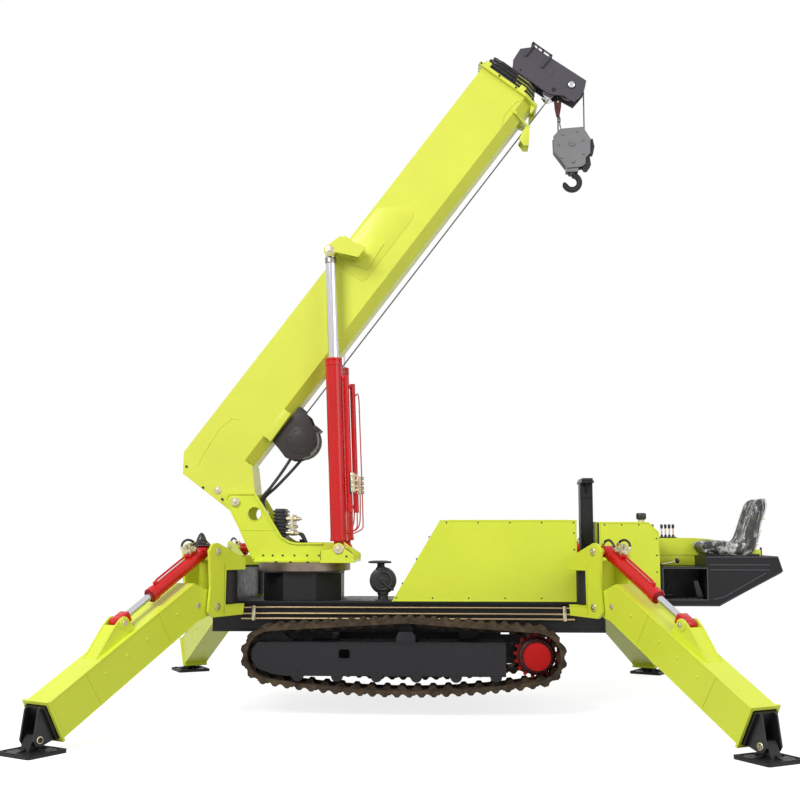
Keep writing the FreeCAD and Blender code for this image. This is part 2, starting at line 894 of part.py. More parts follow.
def seat():
    """The seat: cushion and leaning back, in one piece."""
    top = size.box_high + size.seat_gap
    outline = [(along(size.seat_front), top), (along(size.seat_rear), top),
               (along(size.seat_rear) + size.seat_lean, size.seat_back_high),
               (along(size.seat_rear) + size.seat_lean - size.seat_back_thick, size.seat_back_high),
               (along(size.seat_rear) - size.seat_back_foot, top + size.seat_thick),
               (along(size.seat_front), top + size.seat_thick)]
    body = slab("Seat", "XZ", outline, 2 * size.seat_half,
                rounds=[(2, size.seat_round), (3, size.seat_round), (5, size.seat_round)])
    place(body, (0, size.seat_across, 0))
    return node("seat", body)


# Turret

def turret_frame():
    """Two gooseneck plates on a base plate, with the lugs of the luff cylinders."""
    outline = [(along(-1447), size.turret_floor), (along(-504), size.turret_floor),
               (along(-493), 1400), (along(-634), 1508), (along(-1060), 1508),
               (along(-1115), 1522), (along(-1186), 1565), (along(-1441), 1974),
               (along(-1698), 1974), (along(-1731), 1911), (along(-1595), 1655)]
    pieces = []
    for side, hand in SIDES:
        plate = slab(side + "Gooseneck", "XZ", outline, size.turret_plate,
                     holes=[(along(-1447), 1781, size.turret_hole)])
        place(plate, (0, hand * (size.turret_inner + size.turret_plate / 2), 0))
        pieces.append(plate)
        lug_in = size.luff_across + size.luff_eye_half + size.side_gap
        lug_outline = [(along(-800), size.turret_floor), (along(-493), size.turret_floor),
                       (along(-493), 1400), (along(size.luff_along) + 60, size.luff_high),
                       (along(size.luff_along) - 60, size.luff_high), (along(-800), 1440)]
        lug = slab(side + "OuterLug", "XZ", lug_outline, size.lug_plate)
        place(lug, (0, hand * (lug_in + size.lug_plate / 2), 0))
        pieces.append(lug)
        pieces.append(bar(side + "LugEye", along(size.luff_along), size.luff_high, size.lug_radius,
                          size.lug_plate / 2, hand * (lug_in + size.lug_plate / 2)))
        outside = lug_in + size.lug_plate
        floor_low = (along(-800), -outside, size.turret_floor - size.turret_base)
        floor_high = (along(-493), outside, size.turret_floor)
    pieces.append(box("LugFloor", floor_low, floor_high))
    width = size.turret_inner + size.turret_plate
    pieces.append(box("TurretFloor",
                      (along(-1447), -width, size.turret_floor - size.turret_base),
                      (along(-504), width, size.turret_floor)))
    pieces.append(bar("LuffPin", along(size.luff_along), size.luff_high, 36,
                      size.luff_across + size.luff_eye_half + size.side_gap + size.lug_plate))
    pieces.append(bar("BoomPin", along(size.pivot_along), size.pivot_high, size.boom_pin,
                      size.turret_inner + size.turret_plate + 14))
    return node("turret_frame", join("TurretFrame", *pieces))


def slew_ring():
    """The slewing ring under the turret."""
    low = size.column_high + size.ring_gap
    high = size.turret_floor - size.turret_base
    return node("slew_ring", rod("SlewRing", "z", (along(-size.slew_back), 0, low),
                                 size.ring_radius, high - low))


def valve_stack():
    """The valve stack and slewing motor between the turret's plates."""
    block = box("ValveBlock", (along(-1290), -110, size.turret_floor),
                (along(-1160), 110, 1830))
    motor = rod("SlewMotor", "z", (along(-1020), 0, size.turret_floor), 75, 150)
    pieces = [block, box("ValveBase", (along(-1290), -80, size.turret_floor),
                         (along(-1000), 80, size.turret_floor + 60)), motor]
    return node("valve_stack", join("ValveStack", *pieces))


# Boom, in its own frame: X along it from the pivot, Z square to it

def boom_place(thing):
    """Puts a piece of the boom at the pivot, raised to the boom's angle."""
    return place(thing, (along(size.pivot_along), 0, size.pivot_high), (0, -1, 0), size.boom_angle)


def tube(name, order, start, end, wall):
    """One hollow boom section with bevelled lower corners, open at both ends."""
    half = size.boom_half - order * size.section_side_step
    low = size.boom_low + order * size.section_deep_step
    high = size.boom_low + size.boom_deep - order * size.section_deep_step
    bevel = size.boom_chamfer - order * 8
    inner_bevel = bevel - wall * (math.sqrt(2) - 1) * math.sqrt(2)
    body = doc.addObject("PartDesign::Body", name)
    sketch = start_sketch(body, name + "Section", "YZ")
    draw(sketch, [(half, high), (-half, high), (-half, low + bevel), (bevel - half, low),
                  (half - bevel, low), (half, low + bevel)])
    draw(sketch, [(half - wall, high - wall), (wall - half, high - wall),
                  (wall - half, low + wall + inner_bevel), (inner_bevel + wall - half, low + wall),
                  (half - wall - inner_bevel, low + wall), (half - wall, low + wall + inner_bevel)])
    pad = body.newObject("PartDesign::Pad", name + "Pad")
    pad.Profile = sketch
    bind(pad, "Length", end - start)
    place(body, (start, 0, 0))
    return body


def collar(name, order, start, thick, proud):
    """The frame round the end of a section."""
    half = size.boom_half - order * size.section_side_step
    low = size.boom_low + order * size.section_deep_step
    high = size.boom_low + size.boom_deep - order * size.section_deep_step
    bevel = size.boom_chamfer - order * 8
    body = doc.addObject("PartDesign::Body", name)
    sketch = start_sketch(body, name + "Section", "YZ")
    wide = half + proud
    draw(sketch, [(wide, high + proud), (-wide, high + proud), (-wide, low + bevel),
                  (bevel - wide, low - proud), (wide - bevel, low - proud), (wide, low + bevel)])
    hole = half - size.section_wall
    draw(sketch, [(hole, high - size.section_wall), (-hole, high - size.section_wall),
                  (-hole, low + bevel), (bevel - hole, low + size.section_wall),
                  (hole - bevel, low + size.section_wall), (hole, low + bevel)])
    pad = body.newObject("PartDesign::Pad", name + "Pad")
    pad.Profile = sketch
    bind(pad, "Length", thick)
    place(body, (start, 0, 0))
    return body


def boom_base():
    """The base section with its foot, the saddle of the luff cylinders and its end frame."""
    high = size.boom_low + size.boom_deep
    main = tube("BaseTube", 0, size.boom_start, size.boom_end, size.boom_wall)
    wall = size.boom_wall
    foot_outer = slab("FootOuter", "XZ",
                      [(67, high), (-100, high - 123), (-100, 0), (-50, -90), (165, -100),
                       (size.boom_start, size.boom_low), (size.boom_start, high)],
                      2 * size.boom_half)
    foot_inner = slab("FootInner", "XZ",
                      [(72, high - wall), (wall - 100, high - 128), (wall - 100, 120), (200, 120),
                       (size.boom_start + 1, 120), (size.boom_start + 1, high - wall)],
                      2 * (size.boom_half - wall))
    foot = cut("Foot", foot_outer, foot_inner)
    end = collar("BaseEnd", 0, size.boom_end - size.end_thick, size.end_thick, size.end_proud)
    pieces = [main, foot, end]
    ear_in = size.luff_across - size.luff_eye_half - size.side_gap - size.ear_thick
    ear_out = size.luff_across + size.luff_eye_half + size.side_gap
    for side, hand in SIDES:
        for place_name, start in (("In", ear_in), ("Out", ear_out)):
            middle = hand * (start + size.ear_thick / 2)
            ear = slab(side + "Ear" + place_name, "XZ",
                       [(size.saddle_along - 50, size.saddle_high - 20),
                        (size.saddle_along + 20, size.saddle_high - 60),
                        (size.saddle_along + 110, 470), (size.saddle_along + 230, 470),
                        (size.saddle_along + 170, size.saddle_high + 5),
                        (size.saddle_along, size.saddle_high + 52)],
                       size.ear_thick)
            place(ear, (0, middle, 0))
            pieces.append(ear)
            pieces.append(bar(side + "EarEye" + place_name, size.saddle_along, size.saddle_high,
                              56, size.ear_thick / 2, middle))
        low_y = hand * (size.boom_half - 2)
        high_y = hand * (ear_out + size.ear_thick)
        near = min(number_of(low_y), number_of(high_y)) == number_of(low_y)
        pieces.append(box(side + "SaddleWeb",
                          (size.saddle_along + 120, low_y if near else high_y, 480),
                          (size.saddle_along + 200, high_y if near else low_y, 700)))
    bore = bar("FootBore", 0, 0, size.boom_pin + size.pin_gap, size.boom_half + 20)
    return node("boom_base", boom_place(cut("BoomBase", join("BaseWhole", *pieces), bore)))


def wear_pads(name, order, start):
    """The pads above and below the inner end of a section, on which it slides."""
    wide = size.boom_half - order * size.section_side_step
    top = wide - 40
    flat = wide - (size.boom_chamfer - order * 8) - 4
    low = size.boom_low + order * size.section_deep_step
    high = size.boom_low + size.boom_deep - order * size.section_deep_step
    room = size.section_deep_step - (size.boom_wall if order == 1 else size.section_wall)
    thick = room - size.pin_gap
    return (box(name + "PadTop", (start, -top, high - 1), (start + 120, top, high + thick)),
            box(name + "PadLow", (start, -flat, low - thick), (start + 120, flat, low + 1)))


def boom_sections():
    """The four sliding sections with their collars."""
    for order in range(1, int(size.boom_count.number)):
        name = "Section%d" % (order + 1)
        start = size.section_start + (order - 1) * size.section_step
        face = size.boom_end + size.move_gap + (order - 1) * size.collar_pitch
        main = tube(name + "Tube", order, start, face + 10, size.section_wall)
        frame = collar(name + "Collar", order, face + 4, size.collar_thick, size.collar_proud)
        pads = wear_pads(name, order, start)
        node("boom_section_%d" % (order + 1), boom_place(join(name, main, frame, *pads)))


def boom_head():
    """The head plates on the last section, with the sheave, guide roller and bracket."""
    order = size.boom_count.number - 1
    face = size.boom_end + size.move_gap + (int(order) - 1) * size.collar_pitch + 4
    start = face + size.collar_thick
    end = size.boom_end
    low = size.boom_low
    outline = [(start, low - 54), (start + 30, low - 114), (end + 247, low - 174),
               (end + 262, low - 305), (end + 411, low - 314), (end + 502, low - 272),
               (end + 486, low + 121), (end + 463, low + 360), (end + 382, low + 444),
               (end + 249, low + 432), (start, low + 386)]
    pieces = []
    for side, hand in SIDES:
        plate = slab(side + "HeadPlate", "XZ", outline, size.head_plate)
        place(plate, (0, hand * (size.head_half + size.head_plate / 2), 0))
        pieces.append(plate)
    wide = size.head_half + size.head_plate
    pieces.append(box("HeadBase", (start, -wide, low + 96), (start + 16, wide, low + 386)))
    pieces.append(box("HeadNose", (end + 456, -wide, low + 135), (end + 480, wide, low + 345)))
    pieces.append(bar("HeadPin", head_sheave_along, head_sheave_low, 32, wide + 14))
    pieces.append(bar("HeadSheave", head_sheave_along, head_sheave_low,
                      size.sheave_radius, size.sheave_wide / 2))
    return node("boom_head", boom_place(join("BoomHead", *pieces)))


def winch_frame():
    """The side plates that hold the winch under the boom."""
    pieces = []
    for side, hand in SIDES:
        plate = slab(side + "WinchPlate", "XZ",
                     [(659, size.boom_low), (616, size.boom_low - 196),
                      (760, size.boom_low - 354), (900, size.boom_low - 354),
                      (1057, size.boom_low - 120), (1073, size.boom_low)], size.winch_plate)
        place(plate, (0, hand * (size.drum_half + size.move_gap + size.winch_plate / 2), 0))
        pieces.append(plate)
    wide = size.drum_half + size.move_gap + size.winch_plate
    pieces.append(box("WinchBed", (659, -wide, size.boom_low - 20),
                      (1073, wide, size.boom_low - size.seat_gap)))
    pieces.append(bar("WinchShaft", size.winch_along, size.winch_low, 25, wide))
    return node("winch_frame", boom_place(join("WinchFrame", *pieces)))


def winch_drum():
    """The drum between its two flanges."""
    drum = bar("Drum", size.winch_along, size.winch_low, size.drum_radius, size.drum_half)
    pieces = [drum]
    for side, hand in SIDES:
        pieces.append(bar(side + "DrumFlange", size.winch_along, size.winch_low,
                          size.flange_radius - 40, size.flange_thick / 2,
                          hand * (size.drum_half - size.flange_thick / 2)))
    bore = bar("DrumBore", size.winch_along, size.winch_low, 25 + size.pin_gap,
               size.drum_half + 5)
    return node("winch_drum", boom_place(cut("WinchDrum", join("DrumWhole", *pieces), bore)))


# Luff cylinders, in their own frame: X from the lower pin to the upper

pivot_to_saddle = span(size.saddle_high, size.saddle_along)
saddle_turn = size.boom_angle + slope(size.saddle_high, size.saddle_along)
saddle_x = size.pivot_along + pivot_to_saddle * cosine(saddle_turn)
saddle_z = size.pivot_high + pivot_to_saddle * sine(saddle_turn)
luff_length = span(saddle_z - size.luff_high, saddle_x - size.luff_along)
luff_turn = slope(saddle_z - size.luff_high, saddle_x - size.luff_along)


def luff_place(thing, hand):
    """Puts a piece of a luff cylinder on its lower pin."""
    return place(thing, (along(size.luff_along), hand * size.luff_across, size.luff_high),
                 (0, -1, 0), luff_turn)


def luff_barrels():
    """The barrels of the two luff cylinders."""
    things = []
    for side, hand in SIDES:
        eye = bar(side + "LuffEye", 0, 0, size.luff_eye_radius, size.luff_eye_half)
        barrel = rod(side + "LuffTube", "x", (size.luff_neck, 0, 0), size.luff_barrel_radius,
                     size.luff_barrel_end - size.luff_neck)
        neck = rod(side + "LuffNeck", "x", (40, 0, 0), size.luff_eye_half, size.luff_neck)
        bore = rod(side + "LuffBore", "x", (400, 0, 0), size.luff_rod_radius + size.pin_gap,
                   size.luff_barrel_end)
        pin = bar(side + "LuffPinBore", 0, 0, 36 + size.pin_gap, size.luff_eye_half + 5)
        things.append(luff_place(cut(side + "LuffBarrel",
                                     join(side + "LuffWhole", eye, neck, barrel),
                                     bore, pin), hand))
    return node("luff_barrels", group("LuffBarrels", *things))


def luff_rods():
    """The rods of the two luff cylinders, with their eyes."""
    things = []
    for side, hand in SIDES:
        stem = rod(side + "LuffRodStem", "x", (1650, 0, 0), size.luff_rod_radius,
                   luff_length - 1650)
        eye = bar(side + "LuffRodEye", luff_length, 0, size.luff_eye_radius - 8,
                  size.luff_eye_half)
        things.append(luff_place(join(side + "LuffRod", stem, eye), hand))
    return node("luff_rods", group("LuffRods", *things))


# Hook block, hanging under the head sheave

hang_x = (size.pivot_along + head_sheave_along * cosine(size.boom_angle)
          - head_sheave_low * sine(size.boom_angle))
hang_z = (size.pivot_high + head_sheave_along * sine(size.boom_angle)
          + head_sheave_low * cosine(size.boom_angle))


def hook_block():
    """The block: two cheek plates, the sheave and the falls' anchor bar."""
    middle = hang_x
    high = hang_z - size.block_drop
    outline = [(-53, -196), (93, -183), (125, -159), (131, -95), (176, -48), (179, 95),
               (109, 211), (-110, 196), (-179, 119), (-174, -24)]
    pieces = []
    for side, hand in SIDES:
        plate = slab(side + "Cheek", "XZ", outline, size.block_plate)
        place(plate, (0, hand * (size.block_half + size.block_plate / 2), 0))
        pieces.append(plate)
    pieces.append(bar("BlockSheave", 0, size.block_pin, size.block_sheave, 22))
    pieces.append(bar("BlockPin", 0, size.block_pin, 30, size.block_half + size.block_plate + 10))
    pieces.append(box("BlockYoke", (-60, -size.block_half - 1, -232), (60, size.block_half + 1, -170)))
    whole = join("BlockWhole", *pieces)
    bore = rod("BlockBore", "z", (0, 0, -240), 20 + size.pin_gap, 60)
    return node("hook_block", place(cut("HookBlock", whole, bore), (along(middle), 0, high)))


def hook_falls():
    """The two straight falls of rope between the head sheave and the block."""
    high = hang_z - size.block_drop
    reach = size.block_sheave + size.rope_radius + size.pin_gap
    pieces = []
    for order, way in enumerate((-1, 1)):
        pieces.append(rod("Fall%d" % order, "z",
                          (along(hang_x) + way * reach, 0, high + size.block_pin),
                          size.rope_radius, size.block_drop - size.block_pin))
    return node("hook_falls", group("HookFalls", *pieces))


def hook():
    """The swivelling hook: bend, point, shank and nut, about the centre of its bend."""
    flat = size.hook_thick * math.tan(math.pi / 8)
    ring = [(size.hook_bend + x * size.hook_thick + u * flat, y * size.hook_thick + v * flat)
            for x, y, u, v in ((1, 0, 0, -1), (1, 0, 0, 1), (0, 1, 1, 0), (0, 1, -1, 0),
                               (-1, 0, 0, 1), (-1, 0, 0, -1), (0, -1, -1, 0), (0, -1, 1, 0))]
    bend = doc.addObject("PartDesign::Body", "HookBend")
    section = start_sketch(bend, "HookSection", "XY")
    draw(section, ring)
    sweep = bend.newObject("PartDesign::Revolution", "HookSweep")
    sweep.Profile = section
    sweep.ReferenceAxis = (section, ["V_Axis"])
    sweep.Angle = HOOK_SWEEP
    section.Visibility = False
    place(bend, (0, 0, 0), (0, -1, 0), 90)
    turn = 90 - HOOK_SWEEP
    point = doc.addObject("Part::Cone", "HookPoint")
    point.Radius1 = number_of(size.hook_thick)
    point.Radius2 = number_of(size.hook_thick * 0.5)
    point.Height = number_of(size.hook_thick)
    bind(point, "Radius1", size.hook_thick)
    bind(point, "Radius2", size.hook_thick * 0.5)
    bind(point, "Height", size.hook_thick)
    place(point, (size.hook_bend * cosine(turn), 0, size.hook_bend * sine(turn)), (0, -1, 0),
          180 + turn)
    shank = rod("HookShank", "z", (0, 0, size.hook_bend - 5), 20, size.hook_shank)
    nut = rod("HookNut", "z", (0, 0, size.hook_bend - 1), 38, 26)
    whole = join("Hook", bend, point, shank, nut)
    place(whole, (along(hang_x), 0, hang_z - size.block_drop - size.hook_drop))
    return node("hook", whole)


# Outriggers, in the plane of the leg: X outward from the hinge axis, Z up

def leg_frame(thing):
    """Puts a piece of the leg on its pivot, turned down to the leg's slope."""
    return place(thing, (size.leg_pivot_out, 0, size.leg_pivot_high), (0, 1, 0), size.leg_slope)


foot_out = (size.leg_pivot_out + size.foot_along * cosine(size.leg_slope)
            + size.foot_high * sine(size.leg_slope))
foot_up = (size.leg_pivot_high - size.foot_along * sine(size.leg_slope)
           + size.foot_high * cosine(size.leg_slope))
eye_out = (size.leg_pivot_out + size.eye_along * cosine(size.leg_slope)
           + size.eye_high * sine(size.leg_slope))
eye_up = (size.leg_pivot_high - size.eye_along * sine(size.leg_slope)
          + size.eye_high * cosine(size.leg_slope))
head_up = size.leg_pivot_high + size.lift_up
lift_length = span(head_up - eye_up, eye_out - size.leg_pivot_out)
lift_turn = slope(head_up - eye_up, eye_out - size.leg_pivot_out)


def bracket_master():
    """The swinging bracket: two C-shaped plates that grip the hinge barrel."""
    low = size.barrel_low - size.move_gap
    high = size.barrel_high + size.move_gap
    outline = [(-85, high), (175, high), (182, low), (-75, low), (-62, 885), (330, 881),
               (395, 925), (365, 1140), (388, 1445), (350, 1505), (290, 1519), (-85, 1378)]
    pieces = []
    for side, hand in SIDES:
        plate = slab(side + "BracketPlate", "XZ", outline, size.bracket_plate,
                     rounds=[(6, 40), (9, 40), (10, 50)])
        place(plate, (0, hand * size.bracket_half, 0))
        pieces.append(plate)
    inner = size.bracket_half - size.bracket_plate / 2 + 1
    pieces.append(box("BracketTop", (-85, -inner, high), (150, inner, 1365)))
    pieces.append(box("BracketFoot", (-62, -inner, 885), (150, inner, low)))
    pieces.append(box("BracketSpine", (175, -inner, 900), (192, inner, 1340)))
    pieces.append(rod("BracketKingpin", "z", (0, 0, 890), size.barrel_bore - size.pin_gap, 480))
    reach = size.bracket_half + size.bracket_plate / 2
    pieces.append(bar("LegPin", size.leg_pivot_out, size.leg_pivot_high, size.leg_pin, reach + 12))
    pieces.append(bar("LiftPin", size.leg_pivot_out, head_up, size.leg_pin, reach + 12))
    return join("BracketMaster", *pieces)


def leg_master():
    """The leg box with its root, end flange, ears and wedge."""
    outline = [(-70, 0), (-55, 90), (size.leg_root, size.leg_high),
               (size.leg_end, size.leg_high), (size.leg_end, size.leg_low),
               (size.leg_root + 80, size.leg_low), (110, -35), (0, -76)]
    outer = slab("LegOuter", "XZ", outline, 2 * size.leg_half)
    wall = size.leg_wall
    inner = slab("LegInner", "XZ",
                 [(120, 70), (size.leg_root + 20, size.leg_high - wall),
                  (size.leg_end + 40, size.leg_high - wall),
                  (size.leg_end + 40, size.leg_low + wall),
                  (size.leg_root + 90, size.leg_low + wall)],
                 2 * (size.leg_half - wall))
    flange = slab("LegFlange", "YZ",
                  [(-size.leg_half - size.leg_flange, size.leg_low - size.leg_flange),
                   (size.leg_half + size.leg_flange, size.leg_low - size.leg_flange),
                   (size.leg_half + size.leg_flange, size.leg_high + size.leg_flange),
                   (-size.leg_half - size.leg_flange, size.leg_high + size.leg_flange)],
                  size.leg_flange_thick, both=False)
    place(flange, (size.leg_end - size.leg_flange_thick, 0, 0))
    pieces = [outer, flange]
    ear = size.eye_half + size.side_gap
    for side, hand in SIDES:
        cheek = slab(side + "LegEar", "XZ",
                     [(size.eye_along - 85, size.leg_high), (size.eye_along + 380, size.leg_high),
                      (size.eye_along + 90, size.eye_high + 30),
                      (size.eye_along + 20, size.eye_high + 48),
                      (size.eye_along - 25, size.eye_high + 44)], 16)
        place(cheek, (0, hand * (ear + 8), 0))
        pieces.append(cheek)
    wedge = slab("LegWedge", "XZ",
                 [(size.eye_along + 75, size.leg_high), (size.eye_along + 370, size.leg_high),
                  (size.eye_along + 80, size.eye_high + 28)], 2 * ear)
    pieces.append(wedge)
    whole = join("LegWhole", *pieces)
    bore = bar("LegBore", 0, 0, size.leg_pin + size.pin_gap, size.leg_half + 20)
    relief = bar("LegRelief", size.eye_along, size.eye_high, size.eye_radius + size.move_gap, ear)
    return leg_frame(cut("LegMaster", whole, inner, bore, relief))


def inner_leg_master():
    """The sliding inner leg with the fork that carries the pad."""
    gap = size.leg_wall + size.inner_gap
    half = size.leg_half - gap
    low = size.leg_low + gap
    high = size.leg_high - gap
    outer = box("InnerOuter", (size.inner_start, -half, low), (size.leg_end + 24, half, high))
    wall = size.inner_wall
    inner = box("InnerHollow", (size.inner_start - 5, wall - half, low + wall),
                (size.leg_end + 10, half - wall, high - wall))
    pieces = [cut("InnerTube", outer, inner)]
    slide = size.inner_gap - size.pin_gap
    pieces.append(box("InnerPadTop", (size.inner_start, 30 - half, high - 1),
                      (size.inner_start + 90, half - 30, high + slide)))
    pieces.append(box("InnerPadLow", (size.inner_start, 30 - half, low - slide),
                      (size.inner_start + 90, half - 30, low + 1)))
    start = size.leg_end + 20
    for side, hand in SIDES:
        fork = slab(side + "Fork", "XZ",
                    [(start, low), (size.foot_along, size.foot_high - 52),
                     (size.foot_along + 46, size.foot_high - 22),
                     (size.foot_along + 50, size.foot_high + 20), (start + 30, high),
                     (start, high)], 16)
        place(fork, (0, hand * 72, 0))
        pieces.append(fork)
    pieces.append(bar("FootPin", size.foot_along, size.foot_high, 20, 92))
    return leg_frame(join("InnerLegMaster", *pieces))


def pad_master():
    """The ground pad with its lug."""
    half = size.pad_side / 2
    plate = slab("PadPlate", "XY",
                 [(foot_out - half, -half), (foot_out + half, -half),
                  (foot_out + half, half), (foot_out - half, half)],
                 size.pad_thick, rounds=[(0, 25), (1, 25), (2, 25), (3, 25)], both=False)
    lug = slab("PadLug", "XZ",
               [(foot_out - 75, size.pad_thick - 2), (foot_out + 75, size.pad_thick - 2),
                (foot_out + 34, foot_up + 10), (foot_out + 15, foot_up + 34),
                (foot_out - 15, foot_up + 34), (foot_out - 34, foot_up + 10)], 100)
    whole = join("PadWhole", plate, lug)
    bore = bar("PadBore", foot_out, foot_up, 20 + size.pin_gap, 60)
    return cut("PadMaster", whole, bore)


def lift_frame(thing):
    """Puts a piece of the lift cylinder on its upper pin."""
    return place(thing, (size.leg_pivot_out, 0, head_up), (0, 1, 0), lift_turn)


def lift_barrel_master():
    """The barrel of a lift cylinder."""
    eye = bar("LiftEye", 0, 0, 50, 60)
    barrel = rod("LiftTube", "x", (40, 0, 0), size.lift_barrel_radius, size.lift_barrel_end - 40)
    bore = rod("LiftBore", "x", (size.lift_bore_start, 0, 0), size.lift_rod_radius + size.pin_gap,
               size.lift_barrel_end)
    pin = bar("LiftPinBore", 0, 0, size.leg_pin + size.pin_gap, 70)
    return lift_frame(cut("LiftBarrelMaster", join("LiftWhole", eye, barrel), bore, pin))


def lift_rod_master():
    """The rod of a lift cylinder with its eye."""
    stem = rod("LiftRodStem", "x", (size.lift_rod_start, 0, 0), size.lift_rod_radius,
               lift_length - size.lift_rod_start)
    eye = bar("LiftRodEye", lift_length, 0, size.eye_radius, size.eye_half)
    return lift_frame(join("LiftRodMaster", stem, eye))


# Each corner: name, end, side and the turn of the leg's plane from +X
CORNERS = (
    ("front_left", -1, -1, size.leg_azimuth - 180),
    ("front_right", -1, 1, 180 - size.leg_azimuth),
    ("rear_left", 1, -1, -size.leg_azimuth),
    ("rear_right", 1, 1, 0 + size.leg_azimuth),
)


def outriggers():
    """The four outriggers, each piece a copy of one master."""
    masters = (
        ("bracket", bracket_master()),
        ("leg", leg_master()),
        ("inner_leg", inner_leg_master()),
        ("pad", pad_master()),
        ("lift_barrel", lift_barrel_master()),
        ("lift_rod", lift_rod_master()),
    )
    for corner, end, side, turn in CORNERS:
        for piece, master in masters:
            copied = copy_of("%s_%s_copy" % (corner, piece), master)
            place(copied, (along(end * size.hinge_along), side * size.hinge_across, 0),
                  (0, 0, 1), turn)
            node("%s_%s" % (corner, piece), copied)


chassis_frame()
slew_column()
side_pipes()
deck_fitting()
rubber_tracks()
drive_sprockets()
idlers()
track_frames()
engine_hood()
engine_block()
boom_rest()
rear_cowl()
console()
control_levers()
step_box()
seat()
turret_frame()
slew_ring()
valve_stack()
boom_base()
boom_sections()
boom_head()
winch_frame()
winch_drum()
luff_barrels()
luff_rods()
hook_block()
hook_falls()
hook()
outriggers()
doc.recompute()

for thing in doc.Objects:
    if "Invalid" in thing.State or "Error" in thing.State:
        raise RuntimeError("%s: %s" % (thing.Name, thing.State))
for thing in NODES:
    if thing.Shape.isNull() or not thing.Shape.isValid() or not thing.Shape.Solids:
        raise RuntimeError("%s has no valid solid" % thing.Label)
for thing in NODES:
    thing.Shape.exportStep("parts/%s.step" % thing.Label)
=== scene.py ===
import math

import bmesh
import bpy
from mathutils import Matrix, Vector, noise


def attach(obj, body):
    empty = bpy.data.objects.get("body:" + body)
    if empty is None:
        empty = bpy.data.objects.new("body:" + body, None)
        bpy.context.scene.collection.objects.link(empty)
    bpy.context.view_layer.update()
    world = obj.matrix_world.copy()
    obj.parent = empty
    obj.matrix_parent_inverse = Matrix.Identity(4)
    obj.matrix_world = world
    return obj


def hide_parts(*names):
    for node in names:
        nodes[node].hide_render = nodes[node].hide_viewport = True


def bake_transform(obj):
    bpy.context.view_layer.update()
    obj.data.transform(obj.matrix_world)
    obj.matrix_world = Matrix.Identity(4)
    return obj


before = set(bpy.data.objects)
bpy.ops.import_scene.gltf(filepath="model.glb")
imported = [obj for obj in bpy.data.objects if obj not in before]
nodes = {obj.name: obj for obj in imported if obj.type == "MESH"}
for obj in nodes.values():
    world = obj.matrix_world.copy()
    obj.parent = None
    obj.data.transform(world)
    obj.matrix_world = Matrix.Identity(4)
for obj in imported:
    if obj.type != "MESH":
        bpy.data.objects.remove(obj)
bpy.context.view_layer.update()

X, Y, Z = (Vector(axis) for axis in ((1, 0, 0), (0, 1, 0), (0, 0, 1)))
SIDES = (("left", -1), ("right", 1))


def turn_at(origin, axis, degrees):
    """The matrix of a frame at a point, turned about an axis."""
    return Matrix.Translation(Vector(origin)) @ Matrix.Rotation(math.radians(degrees), 4, axis)


# Frames of the moving parts, in metres and degrees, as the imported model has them.
# The chassis and the turret are written in the car's frame, over the tracks' middle.
SHIFT = -0.2467
CAR = Matrix.Translation((SHIFT, 0, 0))
BOOM = turn_at((SHIFT - 1.630, 0, 1.893), "Y", -52.6)
LUFF_PIN = Vector((SHIFT - 0.634, 0, 1.452))
luff = BOOM @ Vector((2.427, 0, 0.728)) - LUFF_PIN
LUFF = turn_at(LUFF_PIN, "Y", -math.degrees(math.atan2(luff.z, luff.x)))
SHEAVE = (5.198, -0.093)
hang = BOOM @ Vector((SHEAVE[0], 0, SHEAVE[1]))
BLOCK = Matrix.Translation((hang.x, 0, hang.z - 0.625))
PLACES = {"chassis": CAR, "turret": CAR, "boom": BOOM, "drum": BOOM, "block": BLOCK}
PLACES.update(("section_%d" % k, BOOM) for k in range(2, 6))

# A leg: its hinge on the chassis, then spots in its upright plane (outward, up)
HINGE = (1.615, 0.741)
CORNERS = (("front_left", -1, -1, -120), ("front_right", -1, 1, 120),
           ("rear_left", 1, -1, -60), ("rear_right", 1, 1, 60))
LEG_PIVOT, LEG_SLOPE = (0.280, 0.974), 28
LIFT_HEAD = (0.280, 1.444)
EYE_SPOT, FOOT_SPOT = (0.919, 0.397), (2.006, 0.083)


def on_plane(spot):
    """A spot of the leg's own frame, in the leg's plane."""
    run, rise = math.cos(math.radians(LEG_SLOPE)), math.sin(math.radians(LEG_SLOPE))
    return (LEG_PIVOT[0] + spot[0] * run + spot[1] * rise,
            LEG_PIVOT[1] - spot[0] * rise + spot[1] * run)


reach, drop = on_plane(EYE_SPOT)[0] - LIFT_HEAD[0], LIFT_HEAD[1] - on_plane(EYE_SPOT)[1]
LIFT_LENGTH, LIFT_TURN = math.hypot(drop, reach), math.degrees(math.atan2(drop, reach))


# Materials

def linear(colour):
    """A written sRGB colour, 0 to 255, as linear values."""
    parts = [part / 255 for part in colour]
    return tuple(p / 12.92 if p <= 0.04045 else ((p + 0.055) / 1.055) ** 2.4 for p in parts) + (1,)


def scaled(colour, share, lift=0.0):
    """A linear colour made darker or lighter."""
    return tuple(value * share + lift for value in colour[:3]) + (1,)


